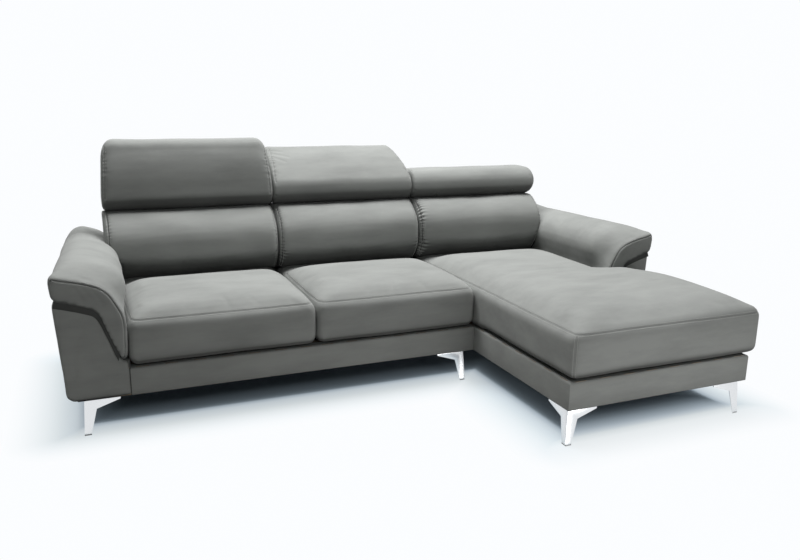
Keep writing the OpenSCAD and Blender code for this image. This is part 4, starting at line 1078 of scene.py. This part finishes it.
def slit_cutter(x, turn):
    """The room that one hinge needs in the cover: its bar sweeps a fan under the roll."""
    first = math.atan2(0.740 - PIVOT_Z, 0.886 - 0.800)
    last = first - math.radians(85)
    half, reach = 0.015, ROLL + 0.060

    def way(angle):
        return np.array([math.cos(angle), math.sin(angle)])

    high, low = half * way(first + math.pi / 2), half * way(last - math.pi / 2)
    sweep = arc((0, 0), reach + 0.004, math.degrees(first), math.degrees(last), 9)
    fan = np.array([high, high + reach * way(first), *sweep, low + reach * way(last), low])
    y, z = tilted(fan[:, 0], fan[:, 1], turn)
    return lofted("slit", [
        np.stack([np.full(len(fan), x + side), y, z], 1) for side in (-0.0028, 0.0028)])


# Each headrest's ends, its tilt in the photograph, what it is shorter by, its far corners, the
# rounding of its ends, and how much it narrows at each.
EVEN = (NARROWING, NARROWING)
for side, x0, x1, tilt, shorter, corners, rounds, narrow, seed in (
        ("left", -1.168, -0.3715, 85, 0.010, (CORNER, CORNER), (0.022, 0.010), EVEN, 41),
        ("middle", -0.3685, 0.3885, 44, 0, (0.024, CORNER), (0.010, 0.010), (0, 0.042), 42),
        ("right", 0.3915, 1.166, 0, 0, (CORNER, CORNER), (0.010, 0.046), EVEN, 43)):
    name, cushion = f"{side}_headrest", f"{side}_headrest_cushion"
    turn = math.radians(tilt)
    form = headrest_form(f"{name}_cover", x0 + 0.001, x1 - 0.001, turn, shorter, corners, rounds, narrow)
    head = stuffed(form, 0.010, [((0, -1, 0), 0.6), ((0, 0, 1), 0.6), ((0, 1, 0), 0.4)], 0.004, 3)
    rippled(head, 0.0012, 0.26, seed)
    upright = turn + 1.5708
    out = np.array([0, math.cos(upright), math.sin(upright)])
    paths = []
    for end, slide in ((x0 + 0.015, NARROWING), (x1 - 0.015, -narrow[1])):
        starts = []
        for a in np.linspace(0.02, 0.98, 60):
            along = -0.02 + (HEADREST_LONG - 0.02) * a
            at = np.array([end + slide * max(0, along) / HEADREST_LONG, *tilted(along, 0, turn)])
            starts.append(at + out * 0.3)
        paths.append(traced(skin_of(head), starts, [-out] * 60))
    for path in paths:
        gathered(head, path, 0.0011, 0.022, 0.014, 50 + len(path))
        if side == "middle" and path is paths[0]:
            skin = skin_of(head)
            for at, long, fall in ((0.93, 0.060, 0.012), (0.82, 0.085, 0.036), (0.70, 0.060, 0.040)):
                start = Vector(path[int(at * (len(path) - 1))])
                fold = [skin.find_nearest(start + Vector((long * u, -0.5 * fall * u, -fall * u)))[0]
                        for u in np.linspace(0, 1, 12)]
                pinched(head, fold, 0.0020, 0.009)
    sewn(f"{name}_seams", [(head, p) for p in paths], name, 0.0020, fold=folded)
    for x in (x0 + 0.150, x1 - 0.150):
        cutter = slit_cutter(x, turn)
        cut = head.modifiers.new("Slit", "BOOLEAN")
        cut.operation, cut.solver, cut.object = "DIFFERENCE", "EXACT", cutter
        settle(head)
        bpy.data.objects.remove(cutter)
    done(head, tilting_cloth, "grey_fabric", name, cushion)


# The room: a pale floor that runs out into white, one wide soft lamp overhead, two weak ones
# from the front, and the camera where the photographer stood.

world = bpy.data.worlds.new("Studio")
bpy.context.scene.world = world
world.use_nodes = True
tree = world.node_tree
air = tree.nodes["Background"]
air.inputs["Color"].default_value = (0.93, 0.97, 1.0, 1)
air.inputs["Strength"].default_value = 0.03
white = node(tree, "ShaderNodeBackground", {"Color": (0.97, 0.985, 1.0, 1)})
ray = node(tree, "ShaderNodeLightPath").outputs
seen = number(tree, "MAXIMUM", ray["Is Camera Ray"], ray["Is Glossy Ray"])
seen = number(tree, "MAXIMUM", seen, ray["Is Transmission Ray"])
sky = node(tree, "ShaderNodeMixShader", {"Fac": seen, 1: air.outputs[0], 2: white.outputs[0]})
tree.links.new(sky.outputs[0], tree.nodes["World Output"].inputs["Surface"])

floor_mesh = bpy.data.meshes.new("floor")
ring = [(30 * math.cos(a), 30 * math.sin(a), 0) for a in np.linspace(0, 6.2832, 65)[:-1]]
floor_mesh.from_pydata(ring, [], [tuple(range(64))])
place("floor", floor_mesh)
ground = bpy.data.materials.new("pale_floor")
ground.use_nodes = True
tree = ground.node_tree
tree.nodes.remove(tree.nodes["Principled BSDF"])


def distance_to(spot, centre, half):
    """The distance from the outline of a rectangle on the floor, less than 0 inside it."""
    off = vector(tree, "ABSOLUTE", vector(tree, "SUBTRACT", spot, (*centre, 0)))
    off = vector(tree, "SUBTRACT", off, (*half, 0))
    outside = vector(tree, "LENGTH", vector(tree, "MAXIMUM", off, (0, 0, 0)))
    parts = node(tree, "ShaderNodeSeparateXYZ", {0: off}).outputs
    inside = number(tree, "MAXIMUM", parts["X"], parts["Y"])
    return number(tree, "ADD", outside, number(tree, "MINIMUM", inside, 0.0))


def by_stops(given, stops):
    """A value or colour that goes from stop to stop as the given value grows."""
    first, last = stops[0][0], stops[-1][0]
    span = node(tree, "ShaderNodeMapRange", {"Value": given, "From Min": first, "From Max": last})
    ramp = node(tree, "ShaderNodeValToRGB", {"Fac": span.outputs["Result"]})
    marks = ramp.color_ramp.elements
    while len(marks) < len(stops):
        marks.new(0.5)
    for mark, (at, shade) in zip(marks, stops):
        mark.position = (at - first) / (last - first)
        mark.color = (*(shade if isinstance(shade, tuple) else (shade,) * 3), 1)
    return ramp.outputs["Color"]


ray = node(tree, "ShaderNodeLightPath").outputs
seen = number(tree, "MAXIMUM", ray["Is Camera Ray"], ray["Is Glossy Ray"])
# The camera sees the floor blue-grey, so that the shadow on it reads blue: painted shadow colour.
tint = node(tree, "ShaderNodeMix", {
    "A": (0.45, 0.45, 0.438, 1), "B": (0.50, 0.62, 0.72, 1), "Factor": seen}, data_type="RGBA")
near_floor = node(tree, "ShaderNodeBsdfDiffuse", {"Color": tint.outputs["Result"]})
spot = node(tree, "ShaderNodeTexCoord").outputs["Object"]
seats_off = distance_to(spot, (0.0, FRONT + 0.475), (1.40, 0.475))
chaise_off = distance_to(spot, (0.86, FRONT + 0.095), (0.50, 0.855))
parts = node(tree, "ShaderNodeSeparateXYZ", {0: spot}).outputs
# Around the sofa the white comes in by steps set to a shadow's edge, and the glow is blue where little white
# shows. The dark core is the floor's real shadow; the edge's shape and its blue are painted shadow.
beside = by_stops(number(tree, "MINIMUM", seats_off, chaise_off), [
    (-0.24, 0.0), (-0.16, 0.03), (-0.125, 0.07), (-0.105, 0.14), (-0.088, 0.42), (-0.06, 0.57),
    (0.0, 0.68), (0.05, 0.80), (0.10, 0.89), (0.15, 0.96), (0.20, 1.0)])
ahead = by_stops(number(tree, "SUBTRACT", CHAISE_FRONT, parts["Y"]), [
    (-0.24, 0.0), (-0.20, 0.03), (-0.16, 0.11), (-0.12, 0.26), (-0.08, 0.44), (-0.04, 0.70),
    (0.0, 0.83), (0.07, 0.90), (0.15, 0.97), (0.20, 1.0)])
painted_shadow_fade = number(tree, "MAXIMUM", beside, ahead)
painted_shadow_glow = by_stops(painted_shadow_fade, [
    (0.0, (0.70, 0.87, 1.0)), (0.45, (0.80, 0.91, 1.0)), (0.70, (0.92, 0.98, 1.0)),
    (1.0, (0.97, 0.985, 1.0))])
far_floor = node(tree, "ShaderNodeEmission", {"Color": painted_shadow_glow})
both = node(tree, "ShaderNodeMixShader", {
    "Fac": number(tree, "MULTIPLY", painted_shadow_fade, seen), 1: near_floor.outputs[0], 2: far_floor.outputs[0]})
tree.links.new(both.outputs[0], tree.nodes["Material Output"].inputs["Surface"])
floor_mesh.materials.append(ground)


def soft_lamp(name, size, power, at, towards, spread=180):
    """A rectangular lamp that isn't seen itself."""
    light = bpy.data.lights.new(name, "AREA")
    light.shape = "RECTANGLE"
    light.size, light.size_y = size
    light.energy = power
    light.spread = math.radians(spread)
    lamp = place(name, light)
    lamp.location = at
    lamp.visible_camera = False
    lamp.rotation_euler = (Vector(towards) - Vector(at)).to_track_quat("-Z", "Y").to_euler()


soft_lamp("overhead", (5.0, 1.8), 330, (0.3, 0.95, 4.6), (0.1, 0.3, 0.0))
soft_lamp("high_front", (3.0, 1.0), 17, (0.0, -4.2, 2.8), (0.2, 0.3, 0.4))
soft_lamp("low_front", (1.4, 0.3), 3.2, (0.95, -2.6, 0.14), (0.85, -0.9, 0.18), 90)

bpy.context.scene.view_settings.view_transform = "Standard"

# The focal length is 749.4 points of a picture that is 800 points wide.
SENSOR, FOCAL_SHARE = 36, 749.4 / 800
lens = bpy.data.cameras.new("camera")
lens.sensor_width = SENSOR
lens.lens = FOCAL_SHARE * SENSOR
camera = place("camera", lens)
camera.location = (-1.2411, -3.0933, 1.3000)
camera.rotation_euler = [math.radians(a) for a in (76.126, -0.7, -22.84)]
bpy.context.scene.camera = camera
